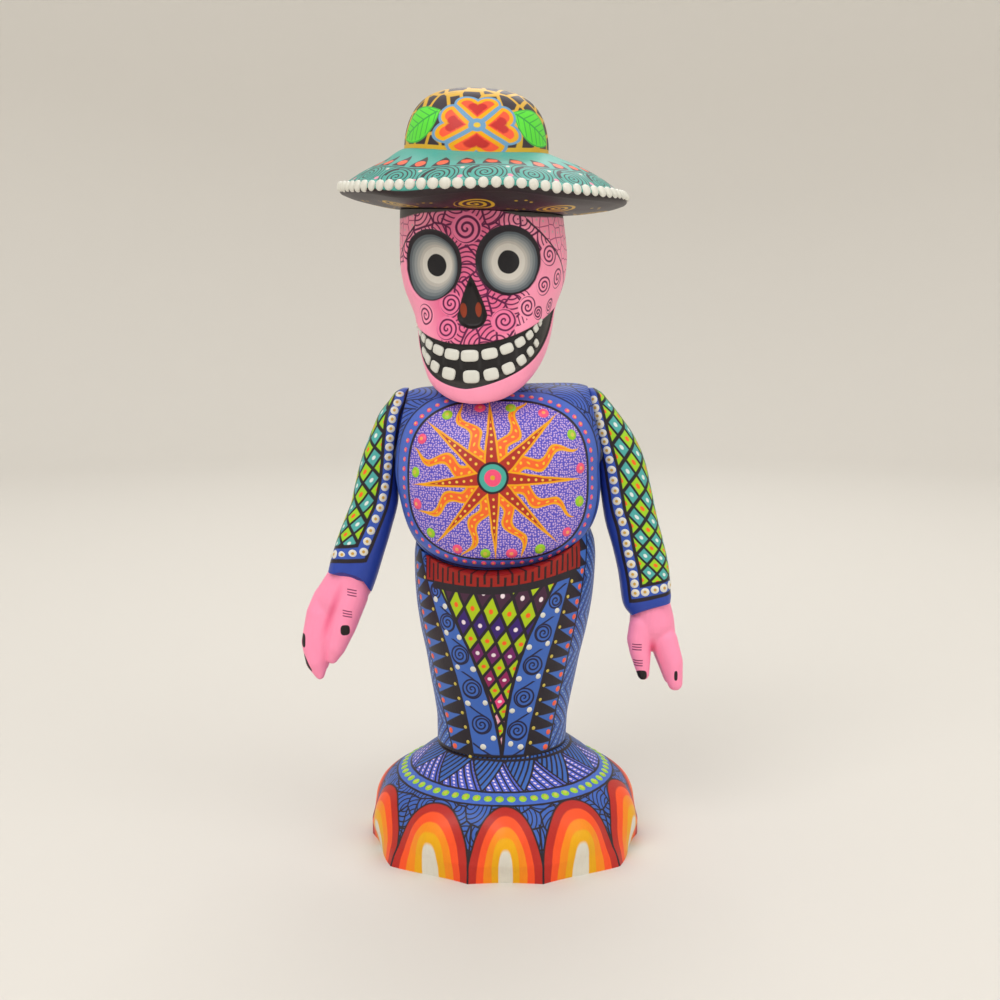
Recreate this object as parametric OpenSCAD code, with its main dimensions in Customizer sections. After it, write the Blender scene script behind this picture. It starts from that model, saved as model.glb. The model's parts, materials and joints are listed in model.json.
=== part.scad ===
// Carved and painted catrina figure: a skeleton lady in a brimmed hat, standing
// on a petalled foot. Millimetres, +Z up, the figure faces -Y. The origin is the
// middle of the foot's underside. Left and right are the figure's own, so the
// right arm is on the -X side.

/* [Foot] */
// Height of the foot, up to where the skirt stands on it
foot_h = 40; // [36:0.5:44]
// Mean radius of the foot on the table
foot_r = 54.5; // [50:0.5:58]
// Number of petals round the foot
petals = 10; // [8:1:14]
// How far the hem's corners flare past its mean radius, at the table
hem_flare = 2.1; // [0:0.1:3]
// How much narrower the petals in front are carved, in degrees
front_narrowing = 5; // [0:0.5:6]

/* [Skirt] */
// Radius of the skirt where it stands on the foot
skirt_r_low = 26; // [23:0.1:27]
// Radius of the skirt at the hips
skirt_r_hip = 36.0; // [34:0.5:38]
// Height of the hips above the table
hip_z = 112; // [106:1:114]

/* [Torso] */
// Half of the chest's width
chest_a = 40.3; // [38:0.1:42]
// Half of the chest's depth
chest_b = 31; // [28:0.5:33]
// Half of the torso's height below its middle
chest_low = 33; // [32:0.5:34]
// Half of the torso's height above its middle
chest_top = 36; // [35:0.5:37]
// Lean of the torso's lower half towards the figure's left, in degrees
waist_lean = 8; // [4:0.5:10]
// Lean of the side facets that the arms turn on, in degrees
facet_lean = 12.5; // [8:0.5:15]
// Distance from the torso's middle to each side facet, at the shoulder pivot
facet_l = 38; // [37:0.5:39]

/* [Head] */
// Half of the skull's width at the temples
skull_a = 32.2; // [30:0.1:33]
// How far the face is turned to the figure's right, in degrees
face_turn = 10; // [0:1:15]
// How far the head leans towards the figure's right, in degrees
head_lean = 3; // [0:0.5:5]

/* [Hat] */
// Radius of the brim
brim_r = 55.2; // [50:0.2:58]
// Radius of the crown at its foot
crown_r = 27.6; // [26:0.1:30]
// How far the crown stands off the brim's middle, towards the figure's right
crown_shift = 3.6; // [0:0.1:5]
// Tilt of the hat towards the figure's left, in degrees
hat_tilt = 2; // [0:0.5:4]

/* [Pegs] */
// Diameter of the dowels that join foot, skirt and torso
dowel_d = 10; // [8:1:12]
// Diameter of the pegs that the head and the hat turn on
turn_d = 8; // [6:1:10]
// Diameter of the pegs that the arms turn on
shoulder_d = 5; // [4:0.5:6]
// Diameter of the pegs that hold the hands in the sleeves
wrist_d = 4; // [3:0.5:5]
// Radial clearance of a peg in the bore that turns on it
run_gap = 0.08; // [0.05:0.01:0.1]

/* [Hidden] */

blue = "royalblue";
pink = "lightpink";
teal = "lightseagreen";
bare_wood = "burlywood";

face_gap = 0.3;       // between the faces of pieces that turn on each other
round_fn = 96;        // facets of the turned pieces, which become true circles
ball_fn = 18;         // facets of the balls that the hands are hulled from

skirt_x = -0.8;       // the skirt and the torso stand a little to the figure's right
torso_x = -2.6;
torso_y = -3.5;       // and the torso a little forward
torso_z = 148;        // height of the chest's middle
seat_z = 115.4;       // lowest line of the torso's seat on the skirt
seat_curve = 64;      // radius of that seat, a trough that runs from front to back
pivot_z = 168;        // height of the shoulder pivots
neck_x = -8.3;        // the neck, the head and the hat share this axis
neck_top = 190;       // top of the neck, where the head turns
head_top = 249.5;     // top of the head, where the hat turns
crown_top = 295.5;    // top of the hat

dowel_len = 30;       // dowels in foot, skirt and torso, half in each piece
peg_len = 22;         // neck and hat pegs
neck_peg_z = 178;     // foot of the neck peg, sunk in the torso
shoulder_in = 14;     // how far a shoulder peg goes into the torso
shoulder_out = 7.5;   // how far it stands out into the sleeve
wrist_half = 7;       // how far a wrist peg goes into sleeve and hand
end_gap = 0.5;        // free space past the end of a peg in its bore

// ---- shapes that repeat ----

function sgn_pow(v, p) = sign(v) * pow(abs(v), p);

// A superellipse of half-axes a and b about centre c, in a plane tilted about Y.
function ring(c, a, b, n, tilt = 0, count = 40) =
    [for (i = [0 : count - 1])
        let (t = 360 * i / count,
             u = a * sgn_pow(cos(t), 2 / n),
             v = b * sgn_pow(sin(t), 2 / n))
        [c[0] + u * cos(tilt), c[1] + v, c[2] + u * sin(tilt)]];

// A closed solid through rings that follow one another upwards.
module loft(rings) {
    k = len(rings[0]);
    m = len(rings);
    points = [for (r = rings) each r];
    sides = [for (j = [0 : m - 2], i = [0 : k - 1])
        let (a = j * k + i, b = j * k + (i + 1) % k)
        each [[a, a + k, b + k], [a, b + k, b]]];
    foot = [for (i = [0 : k - 1]) i];
    cap = [for (i = [k - 1 : -1 : 0]) (m - 1) * k + i];
    polyhedron(concat(points), concat(sides, [foot], [cap]));
}

// How far a superellipse of exponent n has closed at share s of its half-height.
function closing(s, n) = pow(max(0, 1 - pow(abs(s), n)), 1 / n);

module peg(d, length) {
    chamfer = d * 0.08;
    rotate_extrude($fn = round_fn)
        polygon([[0, 0], [d / 2 - chamfer, 0], [d / 2, chamfer],
                 [d / 2, length - chamfer], [d / 2 - chamfer, length], [0, length]]);
}

module bore(d, length) {
    cylinder(d = d, h = length, $fn = round_fn);
}

// ---- foot and skirt ----

// Profile of the foot: [share of foot_r, share of foot_h, lobe], where lobe is how
// far the petals stand proud of the creases between them, in millimetres.
foot_profile = [[1, 0, -1], [0.998, 0.1, -0.55], [0.992, 0.22, 0.1], [0.975, 0.36, 0.45],
                [0.938, 0.49, 0.4], [0.88, 0.6, 0.25], [0.8, 0.685, 0.1],
                [0.72, 0.745, 0], [0.6, 0.87, 0], [0.47, 1, 0]];

// The petals in front are carved narrower than those behind. This turns an angle
// from the front, -180 to 180, into the angle that it would have among even petals.
function petal_turn(t) =
    t + sign(t) * front_narrowing * (1 - exp(-abs(t) / 15)) * (1 - abs(t) / 180);

module base() {
    steps = petals * 6;
    color("orangered") difference() {
        loft([for (p = foot_profile)
            [for (i = [0 : steps - 1])
                let (t = -180 + 360 * i / steps,
                     lobe = cos(petals * petal_turn(t)) * (p[2] < 0 ? hem_flare : 2) * p[2],
                     r = foot_r * p[0] + lobe)
                [r * cos(t - 90), r * sin(t - 90), foot_h * p[1]]]]);
        translate([0, 0, foot_h - dowel_len / 2]) bore(dowel_d, dowel_len);
    }
}

module base_dowel() {
    color(bare_wood) translate([0, 0, foot_h - dowel_len / 2]) peg(dowel_d, dowel_len);
}

lip_r = 31.5;         // radius of the skirt's upper edge before the seat is cut
lip_z = 130;          // height of that edge

// Radius of the skirt at height z, between the foot and the hips.
function skirt_r(z) =
    let (s = (z - foot_h) / (hip_z - foot_h))
    skirt_r_low + (skirt_r_hip - skirt_r_low) * (1 - cos(180 * s)) / 2;

module skirt() {
    outer = [for (i = [0 : 12]) let (z = foot_h + (hip_z - foot_h) * i / 12) [skirt_r(z), z]];
    hip = [for (t = [15 : 15 : 75])
        [lip_r + (skirt_r_hip - lip_r) * cos(t), hip_z + (lip_z - hip_z) * sin(t)]];
    color(blue) difference() {
        translate([skirt_x, 0, 0]) rotate_extrude($fn = round_fn)
            polygon(concat([[0, foot_h]], outer, hip, [[lip_r, lip_z], [0, lip_z]]));
        seat_trough();
        translate([0, 0, foot_h - 1]) bore(dowel_d, dowel_len / 2 + 1);
        translate([torso_x, 0, seat_z - dowel_len / 2]) bore(dowel_d, dowel_len);
    }
}

module waist_dowel() {
    color(bare_wood) translate([torso_x, 0, seat_z - dowel_len / 2]) peg(dowel_d, dowel_len);
}

// ---- torso ----

belly_n = 2.6;         // squareness of the torso's lower outline, seen from the front
yoke_n = 6;           // squareness of its shoulders
depth_n = 2.5;        // roundness of its plan
side_n = 4;           // squareness of its lower outline, seen from the side
top_lean = 1.5;       // lean of the shoulders, in degrees
torso_rings = 20;     // rings from the seat to the shoulders

// One ring of the torso, at share s of its half-height.
function torso_ring(s) =
    let (lean = s < 0 ? waist_lean : waist_lean + (top_lean - waist_lean) * s,
         rise = s * (s < 0 ? chest_low + 3 : chest_top),
         n = s < 0 ? belly_n : yoke_n)
    ring([torso_x - (s < 0 ? rise : rise / 3) * sin(lean), torso_y, torso_z + rise * cos(lean)],
         chest_a * closing(s, n), chest_b * closing(s, s < 0 ? side_n : 2), depth_n, lean);

// The trough that the torso sits in: it opens upwards.
module seat_trough() {
    reach = 60;
    translate([torso_x, reach, torso_z]) rotate([90, -waist_lean, 0])
        translate([0, seat_curve - chest_low, 0]) cylinder(r = seat_curve, h = 2 * reach, $fn = 360);
}

// The carved body of the torso.
module torso_form() {
    intersection() {
        loft([for (j = [0 : torso_rings]) torso_ring(sin(-82 + 170 * j / torso_rings))]);
        seat_trough();
        facet_side(1);
        facet_side(-1);
    }
}

// Everything on the torso's side of one arm facet.
module facet_side(side) {
    reach = 120;
    shoulder_frame(side) translate([-reach / 2, -reach / 2, -reach]) cube([reach, reach, reach]);
}

// Puts +Z along the shoulder pin of one side, with its origin on the facet.
module shoulder_frame(side) {
    translate([torso_x + side * facet_l, 0, pivot_z])
        rotate([0, side * (90 - facet_lean), 0]) children();
}

neck_low = 178;       // foot of the neck, inside the shoulders
neck_r_low = 18.5;    // the neck tapers from this radius
neck_r_top = 13.5;    // to this one

module torso() {
    color(blue) difference() {
        union() {
            torso_form();
            translate([neck_x, 0, neck_low])
                cylinder(r1 = neck_r_low, r2 = neck_r_top, h = neck_top - neck_low, $fn = round_fn);
        }
        translate([torso_x, 0, seat_z - 1]) bore(dowel_d, dowel_len / 2 + 1);
        translate([neck_x, 0, neck_peg_z]) bore(turn_d, peg_len);
        for (side = [-1, 1])
            shoulder_frame(side) translate([0, 0, -shoulder_in]) bore(shoulder_d, shoulder_in + 1);
    }
}

module neck_peg() {
    color(bare_wood) translate([neck_x, 0, neck_peg_z]) peg(turn_d, peg_len);
}

// ---- head ----

// The skull and jaw, upwards: [height, half-width as a share of skull_a, front, back],
// where front and back are distances from the neck's axis.
skull_rings = [[178.6, 0.10, 29.5, -23.5], [179.6, 0.27, 30.8, -19.5], [182.5, 0.45, 31.6, -14],
               [187, 0.60, 32, -5], [192, 0.69, 32.2, 8], [198, 0.755, 31.8, 17], [205, 0.80, 31.2, 22.5],
               [211, 0.825, 30.6, 26.5], [214.5, 0.86, 30.4, 28], [218, 0.905, 30.2, 29.2],
               [224, 0.965, 29.8, 30.4], [233, 0.995, 29.8, 31], [242, 0.98, 29.9, 31],
               [252, 0.955, 30, 30.4]];
eye_z = 230;          // height of the eyes
socket_r = 24;        // radius of the ball that hollows an eye socket
socket_depth = 1.6;   // depth of that hollow

// Turns and leans the head's own frame, which faces -Y, to where the face looks.
module face_frame() {
    translate([neck_x, 0, eye_z]) rotate([0, 0, -face_turn]) rotate([0, -head_lean, 0])
        translate([0, 0, -eye_z]) children();
}

module head() {
    color(pink) difference() {
        face_frame() loft([for (p = skull_rings)
            ring([0, (p[3] - p[2]) / 2, p[0]], skull_a * p[1], (p[3] + p[2]) / 2, 2.3, 0, 44)]);
        hat_frame() translate([-60, -60, 0]) cube([120, 120, 20]);
        translate([neck_x, 0, neck_low - 8])
            cylinder(r = neck_r_low + 1, h = 16, $fn = round_fn);
        translate([neck_x, 0, neck_low])
            cylinder(r = neck_r_top + 2.2, h = neck_top + face_gap - neck_low, $fn = round_fn);
        translate([neck_x, 0, neck_top - 1])
            bore(turn_d + 2 * run_gap, neck_peg_z + peg_len + end_gap - neck_top + 1);
        hat_frame() translate([0, 0, -peg_len / 2]) bore(turn_d, peg_len);
        face_frame() for (side = [-1, 1])
            rotate([0, 0, side * 27]) translate([0, -30.2 - socket_r + socket_depth, eye_z])
                sphere(r = socket_r, $fn = 64);
    }
}

// ---- hat ----

// Puts the origin on the hat's seat, with +Z up the hat's leaning axis.
module hat_frame() {
    translate([neck_x, 0, head_top]) rotate([0, hat_tilt, 0]) children();
}

module hat_peg() {
    color(bare_wood) hat_frame() translate([0, 0, -peg_len / 2]) peg(turn_d, peg_len);
}

module hat() {
    seat_r = 31.4;
    brim_shift = 0.4;                        // of the brim's middle, off the neck's axis
    crown_foot = 23.2;                       // the crown's foot above the seat
    rim_z = 4.4;                             // the rim's lower edge above the seat
    rim_h = 5;                               // thickness of the rim
    crown_h = crown_top - head_top - crown_foot;
    crown = [for (t = [0 : 6 : 84])
        [crown_r * pow(cos(t), 0.62), crown_foot + crown_h * pow(sin(t), 0.92)]];
    edge = [for (t = [-75 : 30 : 75])
        [brim_r - rim_h / 2 + rim_h / 2 * cos(t), rim_z + rim_h / 2 + rim_h / 2 * sin(t)]];
    color(teal) hat_frame() difference() {
        union() {
            translate([-brim_shift, 0, 0]) rotate_extrude($fn = round_fn)
                polygon(concat([[0, face_gap], [seat_r, face_gap], [seat_r + 6, 0.8], [brim_r - 6, 3]],
                               edge, [[brim_r - 8, 13.4], [brim_r - 18, 18.8],
                                      [crown_r, crown_foot - 1], [0, crown_foot - 1]]));
            translate([-crown_shift, 0, 0]) rotate_extrude($fn = round_fn)
                polygon(concat([[0, 15], [crown_r - 3, 15]], crown, [[0, crown_foot + crown_h]]));
        }
        bore(turn_d + 2 * run_gap, peg_len / 2 + end_gap);
    }
}

// ---- arms ----

// Rings of a sleeve, downwards from the shoulder: [height, middle's distance from
// the torso's middle plane, half-width, forward reach, half-depth, tilt].
right_sleeve = [[182.2, 36.4, 1.2, 0, 2.5, 0], [180.9, 37.6, 2.6, 0, 4.7, 0], [178.2, 38.4, 4, 0, 7.4, 0],
                [172.8, 41.2, 5.4, 0, 9.6, 0], [165.3, 43.8, 6.2, 0, 10.8, 0],
                [156, 46.8, 6.8, 0, 11.2, 0], [147, 48.6, 7.4, 0.3, 11.2, 2],
                [138.4, 49.1, 8.7, 1, 10.9, 4], [129, 51.6, 9.4, 2.2, 10.6, 12],
                [120, 54.6, 9.7, 3.6, 10.3, 19], [111, 57.3, 9.8, 4.8, 10, 22],
                [105.5, 59, 9.6, 5.6, 9.6, 23]];
left_sleeve = [[182.2, 36.4, 1.2, 0, 2.5, 0], [180.7, 37.4, 2.8, 0, 5, 0], [177, 38.9, 4.6, 0, 7.6, 0],
               [171, 41.8, 6.4, 0, 9.8, 0], [164, 45, 8, 0, 11, 0],
               [154.6, 48.4, 8.9, 0, 11.4, 1], [143.5, 50.6, 9.4, 0.4, 11.3, 3],
               [131, 52.7, 9.9, 1.2, 11, 7], [120, 55.4, 10, 2.2, 10.6, 11],
               [110, 57.6, 10, 3.2, 10.2, 13], [99.2, 58.9, 9.7, 4.2, 9.9, 15],
               [95.4, 60.3, 8.4, 4.8, 8.8, 21]];
sleeve_n = 3;         // squareness of a sleeve's section
facet_r = 21.5;        // radius of a sleeve's flat face against the torso

function last(list) = list[len(list) - 1];

// The sleeve's loft in the arm's own frame: +X is away from the body.
module sleeve_form(rings) {
    m = len(rings);
    loft([for (j = [m - 1 : -1 : 0]) let (p = rings[j])
        ring([p[1], -p[3], p[0]], p[2], p[4], sleeve_n, p[5], 28)]);
}

// Puts the origin at the middle of a sleeve's cuff, with -Z down the hand.
module cuff_frame(rings) {
    p = last(rings);
    translate([p[1], -p[3], p[0]]) rotate([0, -p[5], 0]) children();
}

// Draws a right or a left piece from its own frame.
module on_side(side) {
    translate([torso_x, 0, 0]) mirror([side < 0 ? 1 : 0, 0, 0]) children();
}

module sleeve(side, rings) {
    reach = 20;
    color(blue) difference() {
        on_side(side) sleeve_form(rings);
        shoulder_frame(side) translate([0, 0, face_gap - reach]) cylinder(r = facet_r, h = reach, $fn = round_fn);
        shoulder_frame(side) bore(shoulder_d + 2 * run_gap, shoulder_out + end_gap);
        on_side(side) cuff_frame(rings) translate([0, 0, -1]) bore(wrist_d, wrist_half + 1);
    }
}

module shoulder_peg(side) {
    color(bare_wood) shoulder_frame(side)
        translate([0, 0, -shoulder_in]) peg(shoulder_d, shoulder_in + shoulder_out);
}

module wrist_peg(side, rings) {
    color(bare_wood) on_side(side) cuff_frame(rings)
        translate([0, 0, -wrist_half]) peg(wrist_d, 2 * wrist_half);
}

// A tapering finger, wrist or palm through balls [x, y, z, radius].
module limb(balls) {
    hull() for (b = balls) translate([b[0], b[1], b[2]]) sphere(r = b[3], $fn = ball_fn);
}

module hand(side, rings, limbs) {
    reach = 60;
    color(pink) on_side(side) difference() {
        intersection() {
            union() for (balls = limbs) limb(balls);
            cuff_frame(rings) translate([-reach, -reach, -reach]) cube([2 * reach, 2 * reach, reach]);
        }
        cuff_frame(rings) translate([0, 0, -wrist_half]) bore(wrist_d, wrist_half + 1);
    }
}

// Balls of each limb of a hand: [distance from the torso's middle plane, forward (-)
// or back (+), height, radius]. The right hand is cupped, thumb in front.
right_hand = [
    [[59, -5.6, 107, 7.8], [62.8, -5, 98, 8.6], [68, -3, 89, 8.4]],
    [[58.6, -9, 99.5, 5.6], [61.6, -11, 89.5, 5.2], [65.2, -12, 80.6, 3.8], [67.2, -12, 76, 2.3]],
    [[70, -6, 92.4, 7], [74.6, -8, 82, 4.8], [73.6, -10, 74.4, 4], [72.4, -11, 69, 1.9]],
    [[70, 2, 90, 7], [75, 1, 80.4, 4.8], [72, -2, 71.6, 3.4]]];
// The left hand hangs open: palm, thumb, forefinger and the other fingers.
left_hand = [
    [[60.3, -4.8, 97, 7], [61.5, -4, 88, 8.8], [63.5, -3, 82, 7.8]],
    [[56.8, -8, 87, 4.8], [57, -10, 78.4, 3.7], [58.2, -11, 69.4, 2.4]],
    [[66, -7, 82.6, 5.2], [69, -9, 74, 4.3], [70.2, -10, 65.6, 3]],
    [[66, 2, 81, 5.6], [69, 3, 72, 4.5], [70, 2, 65, 3.2]]];

base();
base_dowel();
skirt();
waist_dowel();
torso();
neck_peg();
head();
hat_peg();
hat();
shoulder_peg(-1);  // shoulder_peg_right
shoulder_peg(1);  // shoulder_peg_left
sleeve(-1, right_sleeve);  // sleeve_right
sleeve(1, left_sleeve);  // sleeve_left
wrist_peg(-1, right_sleeve);  // wrist_peg_right
wrist_peg(1, left_sleeve);  // wrist_peg_left
hand(-1, right_sleeve, right_hand);  // hand_right
hand(1, left_sleeve, left_hand);  // hand_left
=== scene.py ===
"""The looks of the painted catrina figure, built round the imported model.

Carved pieces are smooth closed meshes laid over grids of their own, in the places that
the frame gives. Each carries a "paint" attribute, its position along its own painted
surface in millimetres, and the patterns are drawn from that by node formulas. Dots and
teeth that stand proud of the surface are real domes.
"""
import json
import math

import bmesh
import bpy
import numpy as np
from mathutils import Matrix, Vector


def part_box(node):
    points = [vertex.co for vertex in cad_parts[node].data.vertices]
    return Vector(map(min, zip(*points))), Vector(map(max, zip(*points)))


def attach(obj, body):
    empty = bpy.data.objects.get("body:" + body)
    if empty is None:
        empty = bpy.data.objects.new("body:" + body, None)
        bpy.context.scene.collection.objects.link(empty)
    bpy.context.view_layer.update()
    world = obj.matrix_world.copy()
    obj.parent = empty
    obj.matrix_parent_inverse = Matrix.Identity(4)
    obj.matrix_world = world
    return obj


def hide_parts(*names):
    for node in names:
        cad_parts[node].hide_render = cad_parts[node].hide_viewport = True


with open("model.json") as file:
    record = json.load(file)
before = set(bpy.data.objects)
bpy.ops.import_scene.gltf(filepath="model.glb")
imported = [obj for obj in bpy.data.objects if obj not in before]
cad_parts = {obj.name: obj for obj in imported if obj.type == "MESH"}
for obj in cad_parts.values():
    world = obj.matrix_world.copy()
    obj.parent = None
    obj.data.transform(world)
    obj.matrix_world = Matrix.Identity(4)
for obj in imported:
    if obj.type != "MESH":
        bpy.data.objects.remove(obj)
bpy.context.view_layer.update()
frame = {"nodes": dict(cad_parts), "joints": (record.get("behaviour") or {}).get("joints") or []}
MM = 0.001
PI = math.pi


def box_mm(node):
    """Lowest and highest corner of a CAD node, in millimetres."""
    return [np.array(corner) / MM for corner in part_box(node)]


def joint_place(name):
    """Origin in millimetres and unit axis of a joint."""
    j = next(j for j in frame["joints"] if j["name"] == name)
    axis = np.array(j["axis"], float)
    return np.array(j["pos_m"], float) / MM, axis / np.linalg.norm(axis)


# ---- numbers and curves ----

def soft(low, high, x):
    """0 below low, 1 above high, smooth between."""
    t = np.clip((x - low) / (high - low), 0, 1)
    return t * t * (3 - 2 * t)


def signed_power(v, p):
    return np.sign(v) * np.abs(v) ** p


def from_whole(x):
    """Signed distance from x to the nearest whole number."""
    return (x + 0.5) % 1 - 0.5


def through(knots, x):
    """A smooth curve through knots [(x, y)...] that never overshoots them."""
    kx, ky = (np.array(c, float) for c in zip(*knots))
    h, d = np.diff(kx), np.diff(ky) / np.diff(kx)
    m = np.concatenate([d[:1], d[1:] * 0, d[-1:]])
    same = d[:-1] * d[1:] > 0
    w1, w2 = 2 * h[1:] + h[:-1], h[1:] + 2 * h[:-1]
    inner = np.zeros(len(d) - 1)
    inner[same] = ((w1 + w2)[same] / (w1[same] / d[:-1][same] + w2[same] / d[1:][same]))
    m[1:-1] = inner
    x = np.clip(x, kx[0], kx[-1])
    i = np.clip(np.searchsorted(kx, x, "right") - 1, 0, len(h) - 1)
    t = (x - kx[i]) / h[i]
    return (ky[i] * (1 + 2 * t) * (1 - t) ** 2 + ky[i + 1] * t * t * (3 - 2 * t)
            + h[i] * t * (1 - t) * (m[i] * (1 - t) - m[i + 1] * t))


def columns_through(rows, x):
    """through() for every column of a table whose rows are evenly spaced."""
    table = np.array(rows, float)
    index = np.arange(len(table))
    return [through(list(zip(index, table[:, c])), x) for c in range(table.shape[1])]


def polar(r, a, z, centre=(0, 0)):
    """Points at radius r and angle a from the front, which is -Y; +X is at +90 degrees."""
    r, a, z = np.broadcast_arrays(r, a, z)
    return np.stack([centre[0] + r * np.sin(a), centre[1] - r * np.cos(a), z], -1)


def turn(points, origin, axis, angle):
    """Points turned about an axis, by Rodrigues' formula."""
    k = np.array(axis, float) / np.linalg.norm(axis)
    p = points - origin
    c, s = math.cos(angle), math.sin(angle)
    return origin + p * c + np.cross(k, p) * s + (p @ k)[..., None] * k * (1 - c)


def lengths(points, axis=0):
    """Running length along an axis of a grid of points."""
    steps = np.linalg.norm(np.diff(points, axis=axis), axis=-1)
    zero = np.zeros_like(np.take(steps, [0], axis))
    return np.concatenate([zero, np.cumsum(steps, axis)], axis)


def around(cols):
    """Angles once around, from the back over the front to the back again."""
    return np.linspace(-PI, PI, cols + 1)


# ---- meshes ----

def shell(points, paint, kind=0):
    """A closed skin over a grid [rows, around, 3] that runs upwards, capped at both ends."""
    rows, cols = points.shape[0], points.shape[1] - 1
    j, i = np.mgrid[0:rows - 1, 0:cols]
    a, b = j * cols + i, j * cols + (i + 1) % cols
    quads = np.stack([a, b, b + cols, a + cols], -1).reshape(-1, 4)
    marks = np.stack([paint[j, i], paint[j, i + 1], paint[j + 1, i + 1], paint[j + 1, i]], 2)
    foot = np.arange(cols)[::-1]
    top = (rows - 1) * cols + np.arange(cols)
    faces = quads.tolist() + [foot.tolist(), top.tolist()]
    marks = np.concatenate([marks.reshape(-1, 3), paint[0, foot], paint[-1, :cols]])
    return points[:, :-1].reshape(-1, 3), faces, marks, kind


def linked(name, data):
    """A new object with that data, put in the scene."""
    obj = bpy.data.objects.new(name, data)
    bpy.context.scene.collection.objects.link(obj)
    return obj


def shade(mesh, materials, crease):
    """Materials, and smooth shading except at edges sharper than that many degrees."""
    for m in materials:
        mesh.materials.append(m)
    mesh.shade_smooth()
    mesh.set_sharp_from_angle(angle=math.radians(crease))


def declare(obj, body, node):
    """Parents a piece to its body's empty and hides the CAD node that it stands in for."""
    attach(obj, body)
    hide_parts(node)


def piece(name, shells, body, materials, node):
    """One Blender object in the row frame from one or more shells."""
    verts, faces, marks, kinds, start = [], [], [], [], 0
    for points, polygons, paint, kind in shells:
        verts.append(points)
        faces += [[v + start for v in f] for f in polygons]
        marks.append(paint)
        kinds += [kind] * len(polygons)
        start += len(points)
    mesh = bpy.data.meshes.new(name)
    mesh.from_pydata((np.concatenate(verts) * MM).tolist(), [], faces)
    layer = mesh.attributes.new("paint", "FLOAT_VECTOR", "CORNER")
    layer.data.foreach_set("vector", np.concatenate(marks).astype(np.float32).ravel())
    shade(mesh, materials, 40)
    mesh.polygons.foreach_set("material_index", kinds)
    declare(linked(name, mesh), body, node)


# Sides of a dot, and the tilts from its foot at which it has a ring of points.
DOME_SIDES, DOME_TILTS = 16, np.radians([0, 30, 58, 80])


def domes(spots, rng, kind, rise, sunk=0.25):
    """Shells of raised paint dots, no two quite alike. A spot is (centre, normal, radius);
    rise is a share of the radius and sunk is in millimetres."""
    found = []
    a = np.linspace(0, 2 * PI, DOME_SIDES + 1)
    cos_a, sin_a = np.cos(a), np.sin(a)
    for centre, normal, radius in spots:
        n = np.array(normal, float) / np.linalg.norm(normal)
        s = np.cross(n, (0.1, 0.2, 1.0))
        s /= np.linalg.norm(s)
        t = np.cross(n, s)
        r = radius * rng.uniform(0.93, 1.07)
        stretch = rng.uniform(0.95, 1.05)
        pick = rng.uniform(0, 1)
        circle = cos_a[:, None] * s * stretch + sin_a[:, None] * t / stretch
        rows = [(r, -sunk)] + [(r * math.cos(q), rise * r * math.sin(q)) for q in DOME_TILTS]
        points = np.stack([centre + h * n + w * circle for w, h in rows])
        paint = np.stack([np.stack([cos_a * w, sin_a * w, a * 0 + pick], -1) for w, _ in rows])
        found.append(shell(points, paint, kind))
    return found


def at(surface, u, v, size=None):
    """A spot on a surface: its point, its outward normal and, if given, a dot's size."""
    e = 1e-3
    p = surface(np.array(float(u)), np.array(float(v)))
    du = surface(np.array(u + e), np.array(float(v))) - p
    dv = surface(np.array(float(u)), np.array(v + e)) - p
    n = np.cross(du, dv)
    return (p, n, size) if size else (p, n)


# ---- painting with nodes ----

class Value:
    """A number in a node tree. Arithmetic on it adds Math nodes."""

    def __init__(self, sheet, socket):
        self.sheet, self.socket = sheet, socket

    def do(self, operation, *others, clamp=False):
        return self.sheet.math(operation, self, *others, clamp=clamp)

    def __add__(self, other):
        return self.do("ADD", other)

    def __sub__(self, other):
        return self.do("SUBTRACT", other)

    def __rsub__(self, other):
        return self.sheet.math("SUBTRACT", other, self)

    def __mul__(self, other):
        return self.do("MULTIPLY", other)

    def __truediv__(self, other):
        return self.do("DIVIDE", other)

    def __pow__(self, other):
        return self.do("POWER", other)

    def __neg__(self):
        return self * -1.0

    def __abs__(self):
        return self.do("ABSOLUTE")

    __radd__, __rmul__ = __add__, __mul__


def sheet_of(*values):
    return next(v.sheet for v in values if isinstance(v, Value))


def calc(operation, *values, clamp=False):
    return sheet_of(*values).math(operation, *values, clamp=clamp)


def least(a, *more):
    for b in more:
        a = calc("MINIMUM", a, b)
    return a


def most(a, *more):
    for b in more:
        a = calc("MAXIMUM", a, b)
    return a


def root(a):
    return calc("SQRT", a)


def sine(a):
    return calc("SINE", a)


def cosine(a):
    return calc("COSINE", a)


def whole(a):
    return calc("FLOOR", a)


def part(a):
    return calc("FRACT", a)


def hypot(x, y):
    return root(x * x + y * y)


def angle(y, x):
    return calc("ARCTAN2", y, x)


def clipped(a, factor):
    """a * factor, kept between 0 and 1."""
    return calc("MULTIPLY", a, factor, clamp=True)


def rise_up(x, low, high):
    """soft() for an array or a Value."""
    if isinstance(x, Value):
        t = clipped(x - low, 1 / (high - low))
        return t * t * (3 - 2 * t)
    return soft(low, high, x)


def bell(x, middle, width):
    """A bump that is 1 at its middle, for an array or a Value."""
    if isinstance(x, Value):
        return calc("EXPONENT", -((x - middle) / width * ((x - middle) / width)))
    return np.exp(-((x - middle) / width) ** 2)


def wave(x, pitch):
    """Distance from x to the nearest of a row of marks that are pitch apart."""
    return abs(part(x / pitch + 0.5) - 0.5) * pitch


def near(x, pitch, at_zero=0.0):
    """Signed distance from x to the nearest mark of such a row, one of which is at_zero."""
    return (part((x - at_zero) / pitch + 0.5) - 0.5) * pitch


def inside(distance, edge=0.25):
    """1 where a signed distance in millimetres is negative, with a soft edge."""
    return calc("MULTIPLY_ADD", distance, -1.0 / edge, 0.5, clamp=True)


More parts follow.
